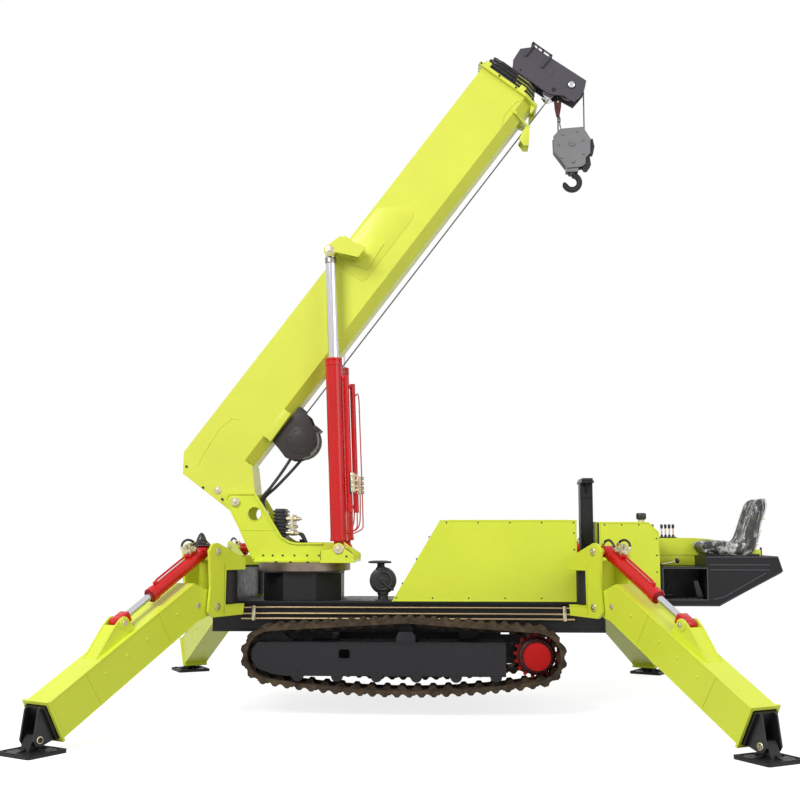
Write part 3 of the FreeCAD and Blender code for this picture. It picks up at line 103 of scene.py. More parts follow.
class Nodes:
    """A material's node tree with short ways to add to it."""

    def __init__(self, name):
        self.material = bpy.data.materials.new(name)
        self.material.use_nodes = True
        self.tree = self.material.node_tree
        self.shader = self.tree.nodes["Principled BSDF"]
        self.place = self.add("ShaderNodeTexCoord")

    def add(self, kind, inputs=None, **values):
        """A node with its plain input values and its settings."""
        node = self.tree.nodes.new(kind)
        for key, value in values.items():
            setattr(node, key, value)
        for key, value in (inputs or {}).items():
            node.inputs[key].default_value = value
        return node

    def link(self, start, end):
        self.tree.links.new(start, end)

    def noise(self, scale, detail=4, rough=0.55, squeeze=None):
        """A noise over the piece's own place."""
        source = self.place.outputs["Object"]
        if squeeze:
            mapping = self.add("ShaderNodeMapping", {"Scale": squeeze})
            self.link(source, mapping.inputs["Vector"])
            source = mapping.outputs["Vector"]
        node = self.add("ShaderNodeTexNoise", {"Scale": scale, "Detail": detail, "Roughness": rough})
        self.link(source, node.inputs["Vector"])
        return node.outputs["Fac"]

    def range(self, source, low, high, to_low=0.0, to_high=1.0):
        """A factor mapped from one range to another, held at its ends."""
        node = self.add("ShaderNodeMapRange", {"From Min": low, "From Max": high,
                                               "To Min": to_low, "To Max": to_high})
        self.link(source, node.inputs["Value"])
        return node.outputs["Result"]

    def times(self, a, b):
        node = self.add("ShaderNodeMath", operation="MULTIPLY")
        self.link(a, node.inputs[0])
        if isinstance(b, (int, float)):
            node.inputs[1].default_value = b
        else:
            self.link(b, node.inputs[1])
        return node.outputs[0]

    def mix(self, factor, a, b):
        """Two colours by a factor. Each is a colour or a socket."""
        node = self.add("ShaderNodeMix", data_type="RGBA")
        self.link(factor, node.inputs["Factor"])
        for slot, value in ((6, a), (7, b)):
            if isinstance(value, tuple):
                node.inputs[slot].default_value = value
            else:
                self.link(value, node.inputs[slot])
        return node.outputs[2]

    def upward(self):
        """How far a surface of the piece faces up, at rest."""
        split = self.add("ShaderNodeSeparateXYZ")
        self.link(self.place.outputs["Normal"], split.inputs[0])
        return self.range(split.outputs["Z"], 0.3, 0.95)

    def finish(self, tone, heights, edge=0.0, **values):
        """Sets the colour, plain values and bumps (factor, strength, distance) over rounded edges."""
        self.link(tone, self.shader.inputs["Base Color"])
        for key, value in values.items():
            self.shader.inputs[key.replace("_", " ")].default_value = value
        normal = None
        if edge:
            normal = self.add("ShaderNodeBevel", {"Radius": edge}, samples=4).outputs["Normal"]
        for factor, strength, distance in heights:
            node = self.add("ShaderNodeBump", {"Strength": strength, "Distance": distance})
            self.link(factor, node.inputs["Height"])
            if normal is not None:
                self.link(normal, node.inputs["Normal"])
            normal = node.outputs["Normal"]
        self.link(normal, self.shader.inputs["Normal"])
        return self.material


def paint(name, colour, rough=0.32, coat=0.35, dust=0.25, shade=0.06, wear=0.0, gloss=0.5):
    """Sprayed paint: slight shade drift, orange peel, dust on what faces up."""
    n = Nodes(name)
    base = linear(colour)
    tone = n.mix(n.range(n.noise(1.7, 5), 0.32, 0.68), scaled(base, 1 - shade * 2.2), base)
    grime = n.range(n.noise(9, 8, 0.7), 0.5, 0.78)
    tone = n.mix(n.times(n.times(n.upward(), grime), dust), tone, linear((150, 132, 108)))
    streak = n.times(n.range(n.noise(5, 6, 0.65, (1, 1, 0.12)), 0.56, 0.8), dust * 0.35)
    tone = n.mix(streak, tone, scaled(base, 0.6))
    if wear:
        spots = n.times(n.range(n.noise(60, 6, 0.7), 0.66, 0.72), wear)
        tone = n.mix(spots, tone, linear((120, 112, 104)))
    n.link(n.range(n.noise(22, 5), 0.3, 0.7, rough * 0.8, rough * 1.3), n.shader.inputs["Roughness"])
    return n.finish(tone, [(n.noise(420, 2), 0.05, 0.0006), (n.noise(3.2, 2), 0.12, 0.002)], 0.003,
                    Coat_Weight=coat, Coat_Roughness=0.12, Specular_IOR_Level=gloss)


def metal(name, colour, rough, brushed=(1, 1, 1), stain=0.2, stain_colour=(90, 70, 50),
          bump=0.04, metallic=1.0):
    """Bare or plated metal with fine marks and a little staining."""
    n = Nodes(name)
    base = linear(colour)
    marks = n.noise(260, 3, 0.6, brushed)
    tone = n.mix(n.range(marks, 0.3, 0.7), scaled(base, 0.82), base)
    spots = n.times(n.range(n.noise(14, 7, 0.7), 0.5, 0.75), stain)
    tone = n.mix(spots, tone, linear(stain_colour))
    n.link(n.range(marks, 0.3, 0.7, rough * 0.75, rough * 1.3), n.shader.inputs["Roughness"])
    return n.finish(tone, [(marks, bump, 0.0008)], 0.0015, Metallic=metallic)


def track_rubber():
    """Black rubber caked with dry brown dust."""
    n = Nodes("TrackRubber")
    cake = n.range(n.noise(11, 9, 0.72), 0.36, 0.66)
    fine = n.range(n.noise(85, 6, 0.7), 0.35, 0.7)
    tone = n.mix(cake, linear((38, 32, 27)), linear((98, 80, 62)))
    tone = n.mix(n.times(fine, 0.45), tone, linear((38, 32, 28)))
    return n.finish(tone, [(n.noise(70, 8, 0.7), 0.5, 0.004), (n.noise(500, 3), 0.2, 0.001)], 0.004,
                    Roughness=0.86, Specular_IOR_Level=0.25)


def rubber(name, colour=(24, 24, 25), rough=0.5):
    """Smooth hose rubber or moulded plastic."""
    n = Nodes(name)
    base = linear(colour)
    tone = n.mix(n.range(n.noise(30, 6, 0.7), 0.4, 0.7), base, scaled(base, 1.9, 0.004))
    return n.finish(tone, [(n.noise(300, 4, 0.6), 0.3, 0.001)], Roughness=rough)


def rope_wire():
    """Steel rope: dark greased strands, painted lighter on their crowns as painted highlight and darker in
    the grooves as painted shade.
    """
    n = Nodes("RopeWire")
    wave = n.add("ShaderNodeTexWave", {"Scale": 60, "Distortion": 0.3}, bands_direction="DIAGONAL")
    n.link(n.place.outputs["Object"], wave.inputs["Vector"])
    strands = wave.outputs["Fac"]
    # Painted highlight and shade: the bands that raise the strands also colour their crowns light and the
    # grooves between them dark.
    return n.finish(n.mix(strands, linear((58, 57, 60)), linear((128, 126, 128))),
                    [(strands, 0.6, 0.002)], Metallic=0.7, Roughness=0.45)


def vinyl():
    """Black seat vinyl with a fine leather grain."""
    n = Nodes("SeatVinyl")
    cells = n.add("ShaderNodeTexVoronoi", {"Scale": 520}, feature="DISTANCE_TO_EDGE")
    n.link(n.place.outputs["Object"], cells.inputs["Vector"])
    tone = n.mix(n.range(n.noise(6, 5), 0.35, 0.7), linear((20, 20, 21)), linear((34, 33, 35)))
    return n.finish(tone, [(cells.outputs["Distance"], 0.35, 0.001), (n.noise(40, 3), 0.15, 0.003)],
                    Roughness=0.46, Specular_IOR_Level=0.4)


def film():
    """Thin clear wrapping film, creased, with painted highlight on the fold crests and painted shade in the
    hollows.
    """
    n = Nodes("ClearFilm")
    folds = n.noise(13, 6, 0.62, (1.0, 2.6, 0.45))
    # Painted highlight and shade: the fold noise of the bump makes the film near white and more opaque on its
    # crests, grey and clearer in its hollows.
    tone = n.mix(n.range(folds, 0.50, 0.60), linear((170, 170, 168)), linear((250, 250, 248)))
    n.link(n.range(folds, 0.47, 0.62, 0.06, 0.70), n.shader.inputs["Alpha"])
    return n.finish(tone, [(folds, 1.0, 0.012), (n.noise(60, 5, 0.7), 0.6, 0.003)], Roughness=0.14,
                    Specular_IOR_Level=0.8, Coat_Weight=0.6, Coat_Roughness=0.05)


# Each look: the material and its slot's name
LOOKS = {
    "lime": (paint("LimePaint", (219, 231, 66), coat=0.08, shade=0.03, dust=0.1, gloss=0.3), "lime_paint"),
    "boom_lime": (paint("BoomPaint", (219, 226, 80), coat=0.08, shade=0.03, dust=0.08, gloss=0.3),
                  "lime_paint"),
    "black": (paint("BlackPaint", (31, 30, 33), 0.45, 0.03, 0.12, 0.12, gloss=0.25), "black_paint"),
    "deck": (paint("DeckPaint", (48, 45, 44), 0.5, 0.05, 0.8, 0.15), "black_paint"),
    "collar": (paint("CollarPaint", (26, 26, 29), 0.38, 0.08, 0.12, gloss=0.35), "black_paint"),
    "head": (paint("HeadPaint", (76, 72, 80), 0.45, 0.04, 0.1, gloss=0.3), "grey_paint"),
    "winch": (paint("WinchPaint", (54, 49, 47), 0.5, 0.03, 0.12, 0.1, gloss=0.3), "grey_paint"),
    "block": (paint("BlockPaint", (122, 122, 124), 0.45, 0.1, 0.25, 0.08, wear=0.3), "block_paint"),
    "red": (paint("RedPaint", (204, 14, 16), 0.25, 0.22, 0.01, 0.06, gloss=0.3), "red_paint"),
    "hub_red": (paint("HubRed", (186, 10, 8), 0.5, 0.05, 0.1, 0.1, gloss=0.2), "dark_red_paint"),
    "hub_dark": (paint("SprocketRed", (74, 18, 16), 0.6, 0.0, 0.5, 0.2), "dark_red_paint"),
    "track_frame": (paint("TrackFramePaint", (38, 36, 40), 0.5, 0.03, 0.2, 0.1, gloss=0.22), "grey_paint"),
    # Near-black look for the plates that fill the beams' openings as painted shade.
    "slot_painted_shade": (paint("SlotShade", (7, 7, 8), 0.9, 0.0, 0.0, 0.0, gloss=0.02), "black_paint"),
    "chrome": (metal("HardChrome", (214, 214, 220), 0.13, (1, 1, 0.06), 0.0, bump=0.01), "chrome_rod"),
    "steel": (metal("MachinedSteel", (150, 146, 140), 0.38, stain=0.35), "bare_steel"),
    "ring": (metal("RingSteel", (134, 120, 108), 0.42, (0.2, 0.2, 6), 0.5, (86, 66, 50)), "bare_steel"),
    "zinc": (metal("ZincPlate", (206, 196, 168), 0.34, stain=0.25, stain_colour=(150, 120, 70)),
             "bare_steel"),
    "pipe": (metal("PipeSteel", (205, 180, 138), 0.34, stain=0.3, stain_colour=(120, 84, 60),
                   metallic=0.85), "pipe_steel"),
    "cast": (metal("DarkCasting", (34, 34, 36), 0.42, stain=0.1, bump=0.3, metallic=0.3), "cast_dark"),
    "hook": (metal("ForgedHook", (44, 42, 43), 0.42, stain=0.15, bump=0.3, metallic=0.5), "cast_dark"),
    "bolt": (metal("DarkBolt", (52, 48, 46), 0.45, stain=0.2, metallic=0.8), "bare_steel"),
    "track": (track_rubber(), "track_rubber"),
    "hose": (rubber("HoseRubber"), "track_rubber"),
    "knob": (rubber("KnobPlastic", (22, 22, 23), 0.3), "cast_dark"),
    "cream": (rubber("LeverSleeve", (198, 180, 158), 0.45), "pipe_steel"),
    "rope": (rope_wire(), "bare_steel"),
    "vinyl": (vinyl(), "seat_vinyl"),
    "film": (film(), "seat_vinyl"),
}
NODE_LOOKS = {
    "black": "chassis_frame slew_column boom_rest step_box", "pipe": "side_pipes",
    "cast": "deck_fitting engine_block valve_stack", "track": "rubber_tracks",
    "hub_red": "drive_sprockets", "track_frame": "idlers track_frames",
    "lime": "engine_hood rear_cowl console turret_frame", "knob": "control_levers",
    "vinyl": "seat", "ring": "slew_ring", "boom_lime": "boom_base", "head": "boom_head",
    "collar": "boom_section_2 boom_section_3 boom_section_4 boom_section_5",
    "winch": "winch_frame", "steel": "winch_drum", "red": "luff_barrels", "chrome": "luff_rods",
    "block": "hook_block", "rope": "hook_falls", "hook": "hook",
}
CORNER_LOOKS = {"bracket": "lime", "leg": "lime", "inner_leg": "collar", "pad": "black",
                "lift_barrel": "red", "lift_rod": "chrome"}


def dress(item, key):
    """Gives a piece or node one material."""
    item.data.materials.clear()
    item.data.materials.append(LOOKS[key][0])


for key, labels in NODE_LOOKS.items():
    for label in labels.split():
        dress(nodes[label], key)
for corner, *_ in CORNERS:
    for ending, key in CORNER_LOOKS.items():
        dress(nodes[corner + "_" + ending], key)


# Building pieces

def piece(name, key, body, *forms, at=None, smooth=35):
    """Builds forms, in lists of any depth, into a piece that rides a body."""
    mesh = bmesh.new()

    def build(form):
        if callable(form):
            form(mesh)
        else:
            for part in form:
                build(part)

    build(forms)
    bmesh.ops.recalc_face_normals(mesh, faces=mesh.faces)
    data = bpy.data.meshes.new(name)
    mesh.to_mesh(data)
    mesh.free()
    place = PLACES.get(body) if at is None else at
    if place is not None:
        data.transform(place)
    item = bpy.data.objects.new(name, data)
    bpy.context.scene.collection.objects.link(item)
    dress(item, key)
    data.shade_smooth()
    data.set_sharp_from_angle(angle=math.radians(smooth))
    if body:
        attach(item, body)
    return item


def shape(function):
    """Lets a shape be named first and built into its piece's mesh later."""
    return lambda *given, **named: lambda mesh: function(mesh, *given, **named)


def both(make):
    """What a function of the side gives on the left and on the right."""
    return [make(side) for side in (-1, 1)]


def circle(count, first=0.0):
    """Even directions round a circle, as (cosine, sine)."""
    angles = [math.radians(360 * k / count + first) for k in range(count)]
    return [(math.cos(angle), math.sin(angle)) for angle in angles]


def round_edges(mesh, edges, width):
    bmesh.ops.bevel(mesh, geom=list(edges), offset=width, segments=2, affect="EDGES", profile=0.5)


def skin(mesh, rings, closed=True):
    """Faces between rings of as many points, or of one point each."""
    for a, b in zip(rings, rings[1:]):
        count = max(len(a), len(b))
        for k in range(count if closed else count - 1):
            after = (k + 1) % count
            if len(a) == 1 and len(b) > 1:
                mesh.faces.new((a[0], b[k], b[after]))
            elif len(b) == 1 and len(a) > 1:
                mesh.faces.new((a[k], b[0], a[after]))
            elif len(a) > 1:
                mesh.faces.new((a[k], b[k], b[after], a[after]))


def ring_round(mesh, centre, side, across, radius, segments):
    """A ring of points about a centre."""
    return [mesh.verts.new(centre + (side * math.cos(2 * math.pi * k / segments)
                                     + across * math.sin(2 * math.pi * k / segments)) * radius)
            for k in range(segments)]


@shape
def box(mesh, low, high, bevel=0.0):
    """A box, its edges rounded."""
    made = bmesh.ops.create_cube(mesh, size=1)["verts"]
    for vert in made:
        vert.co = Vector(a + (place + 0.5) * (b - a) for a, b, place in zip(low, high, vert.co))
    if bevel:
        round_edges(mesh, {edge for vert in made for edge in vert.link_edges}, bevel)


def side_box(side, low, high, bevel):
    """A box on one side: its low and high places across are measured outward."""
    near, far = sorted((side * low[1], side * high[1]))
    return box((low[0], near, low[2]), (high[0], far, high[2]), bevel)


@shape
def block(mesh, place):
    """A block of unit size, put in place by a matrix."""
    for vert in bmesh.ops.create_cube(mesh, size=1)["verts"]:
        vert.co = place @ vert.co


@shape
def sheet(mesh, rows):
    """An open surface through rows of points."""
    skin(mesh, [[mesh.verts.new(point) for point in row] for row in rows], closed=False)


@shape
def turned(mesh, start, axis, profile, segments=24):
    """A turned form: profile is (distance along the axis, radius) from its start."""
    axis = Vector(axis).normalized()
    side = axis.orthogonal().normalized()
    rings = []
    for distance, radius in profile:
        centre = Vector(start) + axis * distance
        rings.append([mesh.verts.new(centre)] if radius < 1e-6 else
                     ring_round(mesh, centre, side, axis.cross(side), radius, segments))
    skin(mesh, rings)
    for ring in (rings[0], rings[-1]):
        if len(ring) > 1:
            mesh.faces.new(ring)


def bolt(at, axis, size=0.012, washer=True):
    """A hexagon bolt head, with its washer."""
    head = turned(at, axis, [(-0.001, size), (size * 0.85, size), (size, size * 0.82)], 6)
    return [turned(at, axis, [(-0.001, size * 1.45), (size * 0.2, size * 1.45),
                              (size * 0.26, size * 1.35)], 20), head] if washer else head


def dome(at, axis, size):
    """A domed screw head."""
    return turned(at, axis, [(-0.001, size), (size * 0.25, size * 0.95), (size * 0.5, size * 0.6),
                             (size * 0.56, 0)], 12)


def studs(spots, face, side, size=0.012, head=bolt, **named):
    """Bolts or screws on a side face, at spots (along, up)."""
    return [head((x, side * face, z), (0, side, 0), size, **named) for x, z in spots]


def cap(spot, face, side, profile, segments=32):
    """A turned form standing on a side face."""
    return turned((spot[0], side * face, spot[1]), (0, side, 0), profile, segments)


def bared(spots, face, side, size):
    """Bolts without washers on a side face."""
    return studs(spots, face, side, size, washer=False)


def in_plane(plane, flat, across):
    """A point from its place in a plane and its place across it."""
    return Vector({"XZ": (flat[0], across, flat[1]), "YZ": (across, flat[0], flat[1]),
                   "XY": (flat[0], flat[1], across)}[plane])


@shape
def plate(mesh, corners, low, high, plane="XZ", bevel=0.0):
    """A flat plate: its outline in a plane, from one place across to another."""
    ends = [[mesh.verts.new(in_plane(plane, corner, across)) for corner in corners] for across in (low, high)]
    faces = [mesh.faces.new(end) for end in ends]
    skin(mesh, ends)
    if bevel:
        round_edges(mesh, {edge for face in faces for edge in face.edges}, bevel)


@shape
def strip(mesh, points, wide, low, high, closed=False, plane="XZ"):
    """A raised strip along a line of points in a plane, mitred at its corners."""
    last = len(points) - 1
    rows = []
    for k, point in enumerate(points):
        here = Vector(point)
        way_in = here - Vector(points[k - 1]) if k or closed else Vector((0, 0))
        way_out = Vector(points[(k + 1) % (last + 1)]) - here if k < last or closed else Vector((0, 0))
        way_in = (way_in if way_in.length else way_out).normalized()
        way_out = (way_out if way_out.length else way_in).normalized()
        middle = (way_in + way_out).normalized() if (way_in + way_out).length > 1e-6 else way_in
        normal = Vector((-middle.y, middle.x))
        step = normal * wide / 2 / max(0.4, normal.dot(Vector((-way_in.y, way_in.x))))
        rows.append([mesh.verts.new(in_plane(plane, flat, across)) for flat, across in
                     ((here - step, low), (here - step, high), (here + step, high), (here + step, low))])
    skin(mesh, rows + rows[:1] if closed else rows)
    if not closed:
        mesh.faces.new(rows[0])
        mesh.faces.new(rows[-1])


def rib(points, wide, side, face, rise, sink=0.001, closed=False):
    """A raised strip on a side face, sunk a little into it."""
    return strip(points, wide, side * (face - sink), side * (face + rise), closed)


def smooth_points(points, steps=6):
    """A smooth line through a few points."""
    points = [Vector(p) for p in points]
    found = []
    for k, (a, b) in enumerate(zip(points, points[1:])):
        before = points[k - 1] if k else a * 2 - b
        after = points[k + 2] if k + 2 < len(points) else b * 2 - a
        found += [0.5 * (2 * a + (b - before) * t + (2 * before - 5 * a + 4 * b - after) * t * t
                         + (3 * a - before - 3 * b + after) * t ** 3)
                  for t in (j / steps for j in range(steps))]
    return found + [points[-1]]


@shape
def tube(mesh, points, radius, segments=12):
    """A round tube along a line of points, capped."""
    points = [Vector(p) for p in points]
    ways = [(after - before).normalized() for before, after in
            zip(points[:1] + points[:-1], points[1:] + points[-1:])]
    side = ways[0].orthogonal().normalized()
    rings = []
    for point, way in zip(points, ways):
        side = (side - way * side.dot(way)).normalized()
        rings.append(ring_round(mesh, point, side, way.cross(side), radius, segments))
    skin(mesh, rings)
    mesh.faces.new(rings[0])
    mesh.faces.new(rings[-1])


def bent(points, radius, segments=12):
    """A tube smoothly bent through a few points."""
    return tube(smooth_points(points), radius, segments)


def hose(name, points, radius, body, at=None):
    """A plumbed hose with its crimped ends."""
    line = smooth_points(points)
    piece(name, "hose", body, tube(line, radius), at=at)
    crimp = [(share * radius, wide * radius) for share, wide in
             ((0, 1.35), (0.8, 1.35), (0.9, 1.25), (3.4, 1.25), (3.6, 1.05))]
    piece(name + "_ends", "zinc", body, [turned(start, after - start, crimp, 14) for start, after in
                                         ((line[0], line[1]), (line[-1], line[-2]))], at=at)


# Chassis and tracks

SLEW_X = -0.997
HOUSING = 0.420  # half across the hood, the cowl and the step box


def deck_details():
    """The dusty deck top, the column's flange and bolts, the frame's rims and the pipes' clamps."""
    piece("deck_tread", "deck", "chassis", box((-0.62, -0.405, 0.9801), (-0.15, 0.405, 0.9835), 0.001))
    clamp = [(0, 0.0115), (0.002, 0.0165), (0.032, 0.0165), (0.034, 0.0115)]
    piece("pipe_clamp_plates", "zinc", "chassis", [
        ([turned((x - 0.017, -0.384, z), X, clamp, 16) for z in (0.923, 0.867, 0.821)],
         box((x - 0.016, -0.404, 0.808), (x + 0.016, -0.3995, 0.937), 0.001),
         studs([(x, 0.846), (x, 0.895)], 0.404, -1, 0.006)) for x in (-1.413, 1.429)])
    piece("ring_bolts", "bolt", "turret",
          [bolt((SLEW_X + c * 0.405, s * 0.405, 1.3285), Z) for c, s in circle(16, 11)])
    heads = []
    for c, s in circle(8):
        way, across = Vector((c, s, 0)), Vector((-s, c, 0))
        heads += [bolt(Vector((SLEW_X, 0, 1.232)) + way * 0.365 + across * step, way, 0.006, False)
                  for step in (-0.1, -0.033, 0.033, 0.1)]
    piece("column_bolts", "bolt", "chassis", heads)
    piece("column_flange", "black", "chassis", box((-1.365, -0.375, 1.234), (-0.629, 0.375, 1.2495), 0.002))
    piece("frame_rims", "black", "chassis", both(lambda side: [
        side_box(side, (-1.80, 0.4075, 0.9605), (1.80, 0.4145, 0.979), 0.001),
        side_box(side, (-1.80, 0.360, 0.702), (1.80, 0.372, 0.722), 0.001)]))


def track_wheels():
    """Sprocket rims and hub covers, carrier brackets, roller caps, and a near-black plate in each beam's
    opening as painted shade.
    """
    hub_x, hub_z = hub = (1.150, 0.525)
    face = 0.775
    slot = [(-0.54 + x, 0.545 + z) for x, z in
            ((-0.055, -0.03), (-0.035, -0.045), (0.035, -0.045), (0.055, -0.03), (0.055, 0.03),
             (0.035, 0.045), (-0.035, 0.045), (-0.055, 0.03))]
    cover = [(-0.06, 0.1195), (-0.012, 0.1195), (0.0, 0.112), (0.004, 0.10), (0.006, 0.02), (0.006, 0)]
    rim = [(0, 0.166), (0.03, 0.166), (0.035, 0.158), (0.06, 0.15), (0.07, 0.13), (0.11, 0.125),
           (0.11, 0.1185)]
    roller = [(0, 0.052), (0.026, 0.052), (0.0305, 0.046), (0.031, 0.018), (0.034, 0.017), (0.034, 0)]
    rollers = [-0.954 + 0.349 * k for k in range(6)]
    for name, side in SIDES:
        piece("hub_cover_" + name, "hub_red", "chassis", cap(hub, 0.786, side, cover, 48))
        piece("sprocket_rim_" + name, "hub_dark", "chassis", cap(hub, 0.625, side, rim, 48),
              bared([(hub_x + c * 0.143, hub_z + s * 0.143) for c, s in circle(12)], 0.689, side, 0.008))
        piece("beam_trim_" + name, "track_frame", "chassis",
              rib([(-1.285, 0.636), (0.872, 0.636)], 0.012, side, face, 0.004, 0),
              rib([(-0.64, 0.361), (0.872, 0.361)], 0.01, side, face, 0.003, 0),
              rib(slot, 0.012, side, face, 0.005, 0, True),
              plate([(-0.085, 0.640), (0.085, 0.640), (0.085, 0.690), (0.06, 0.735), (-0.06, 0.735),
                     (-0.085, 0.690)], side * 0.690, side * 0.772, bevel=0.003),
              bared([(x, 0.715) for x in (-0.03, 0.0, 0.03)], 0.772, side, 0.006))
        # A near-black plate filling the beam's opening: painted shade.
        piece("beam_slot_painted_shade_" + name, "slot_painted_shade", "chassis", plate(slot, side * 0.7, side * (face + 0.0008)))
        piece("roller_caps_" + name, "track_frame", "chassis",
              [(cap((x, 0.352), face - 0.03, side, roller, 28), studs([(x, 0.392)], face, side, 0.007))
               for x in rollers])


def track_tread():
    """The edge blocks of the lugs, all round each belt."""
    for name, side in SIDES:
        blocks = []
        for k in range(84):
            spot, out = track_point(k / 84)
            basis = Matrix((Vector((out.z, 0, -out.x)), Y, out)).transposed().to_4x4()
            blocks += [block(Matrix.Translation(spot + Y * edge * 0.178 + out * 0.033) @ basis
                             @ Matrix.Diagonal((0.024, 0.036, 0.012, 1))) for edge in (-1, 1)]
        item = piece("tread_edge_" + name, "track", "chassis", blocks,
                     at=Matrix.Translation((SHIFT, side * 0.600, 0)))
        item.modifiers.new("Round", "BEVEL").width = 0.003


def track_path():
    """The belt's inner line: round the sprocket, the sagging run, round the idler, the crown."""
    idler, sprocket = Vector((-1.198, 0, 0.535)), Vector((1.150, 0, 0.525))
    bend, crown, sag = 0.207, Vector((0, 0, 0.812)), 0.092

    def tangent(centre, point, hand):
        reach = point - centre
        return math.atan2(reach.z, reach.x) + hand * math.acos(bend / reach.length)

    def wrapped(centre, first, turn):
        return [centre + Vector((math.cos(a), 0, math.sin(a))) * bend
                for a in (first + turn * k / 32 for k in range(33))]

    deep = Vector(((idler.x + sprocket.x) / 2, 0, min(idler.z, sprocket.z) - bend - 2 * sag))
    rise, fall = tangent(idler, crown, 1), tangent(sprocket, crown, -1)
    leave, meet = tangent(sprocket, deep, 1), tangent(idler, deep, -1) % (2 * math.pi)
    behind = wrapped(sprocket, fall, leave - fall)
    ahead = wrapped(idler, meet, (rise % (2 * math.pi) - meet) % (2 * math.pi) - 2 * math.pi)
    return behind + [behind[-1] * (1 - t) ** 2 + deep * 2 * t * (1 - t) + ahead[0] * t ** 2
                     for t in (k / 32 for k in range(1, 32))] + ahead + [crown]


TRACK = track_path()
TRACK_STEPS = [(b - a).length for a, b in zip(TRACK, TRACK[1:] + TRACK[:1])]


def track_point(share):
    """The point and the outward way at a share of the belt's length."""
    left = share * sum(TRACK_STEPS)
    for a, b, length in zip(TRACK, TRACK[1:] + TRACK[:1], TRACK_STEPS):
        if left <= length and length > 0:
            way = (b - a) / length
            return a + way * left, Vector((-way.z, 0, way.x))
        left -= length
    return TRACK[0], Vector((0, 0, 1))


def housings():
    """Screws, seams and grilles of the hood, cowl and console, and a black strip as painted shade in the gap
    before the cowl.
    """
    spots = [(0.36 + 0.29 * k, 1.695) for k in range(5)] + [(1.522, 1.60), (1.522, 1.45)]
    spots += [(-0.10 + 0.33 * k, 1.012) for k in range(5)]
    spots += [(-0.045, 1.145), (0.085, 1.365), (0.20, 1.565)]
    spots += [(1.80 + 0.155 * k, 1.675) for k in range(3)] + [(2.265, z) for z in (1.55, 1.40, 1.25)]
    console = [(2.42, 1.50), (2.75, 1.50), (3.05, 1.42), (2.45, 1.42)]
    piece("housing_screws", "bolt", "chassis",
          both(lambda side: studs(spots, HOUSING, side, 0.0075, dome)),
          studs(console, HOUSING, 1, 0.0065, dome))
    piece("hood_folds", "lime", "chassis", both(lambda side: [
        rib([(-0.135, 0.986), (1.46, 0.986)], 0.010, side, HOUSING, 0.0035, 0),
        rib([(0.306, 1.7135), (1.541, 1.7135), (1.541, 1.27)], 0.009, side, HOUSING, 0.003, 0)]), [
        box((0.36, y - 0.012, 1.7185), (1.48, y + 0.012, 1.7225), 0.0015) for y in (-0.28, -0.2, 0.2, 0.28)])
    piece("hood_louvres", "knob", "chassis", [
        (box((0.60 + 0.045 * k, 0.4195, 1.35), (0.618 + 0.045 * k, 0.4245, 1.58), 0.001),
         box((0.5 + 0.07 * k, -0.13, 1.7188), (0.53 + 0.07 * k, 0.13, 1.7215), 0.001))
        for k in range(12)])
    fold = [(1.757, 1.11), (1.757, 1.694), (2.195, 1.694), (2.285, 1.604), (2.285, 1.40)]
    piece("cowl_folds", "lime", "chassis", both(lambda side: rib(fold, 0.008, side, 0.4195, 0.004, 0)),
          box((1.753, -0.10, 1.7005), (2.17, 0.10, 1.7045), 0.0015))
    # A black strip filling the gap before the cowl, on the near side only: painted shade.
    piece("cowl_gap_painted_shade", "black", "chassis", box((1.7365, -0.418, 1.25), (1.7495, -0.388, 1.69), 0.002))
    piece("console_skirt", "lime", "chassis", [
        box((2.2925, low, 1.2975), (2.7015, high, 1.3935), 0.002) for low, high in
        ((0.064, 0.074), (0.404, 0.416))])


def rest_post():
    """The rest's rubber, cap edges and the tube's edges."""
    front, back = 1.620, 1.736
    piece("rest_rubber", "knob", "chassis",
          box((front + 0.006, -0.19, 2.0882), (back - 0.006, 0.19, 2.112), 0.006))
    piece("rest_ribs", "black", "chassis", both(lambda side: [
        plate([(front + 0.01, 1.93), (back - 0.01, 1.93), (back - 0.01, 2.066), (front + 0.01, 2.066)],
              side * 0.091, side * 0.099, bevel=0.001),
        plate([(side * 0.09, 1.96), (side * 0.20, 2.0655), (side * 0.09, 2.0655)],
              front + 0.05, front + 0.06, "YZ", 0.001)]),
        [strip([(x, 1.27), (x, 2.06)], 0.006, -0.0925, -0.0895) for x in (front + 0.012, back - 0.012)])


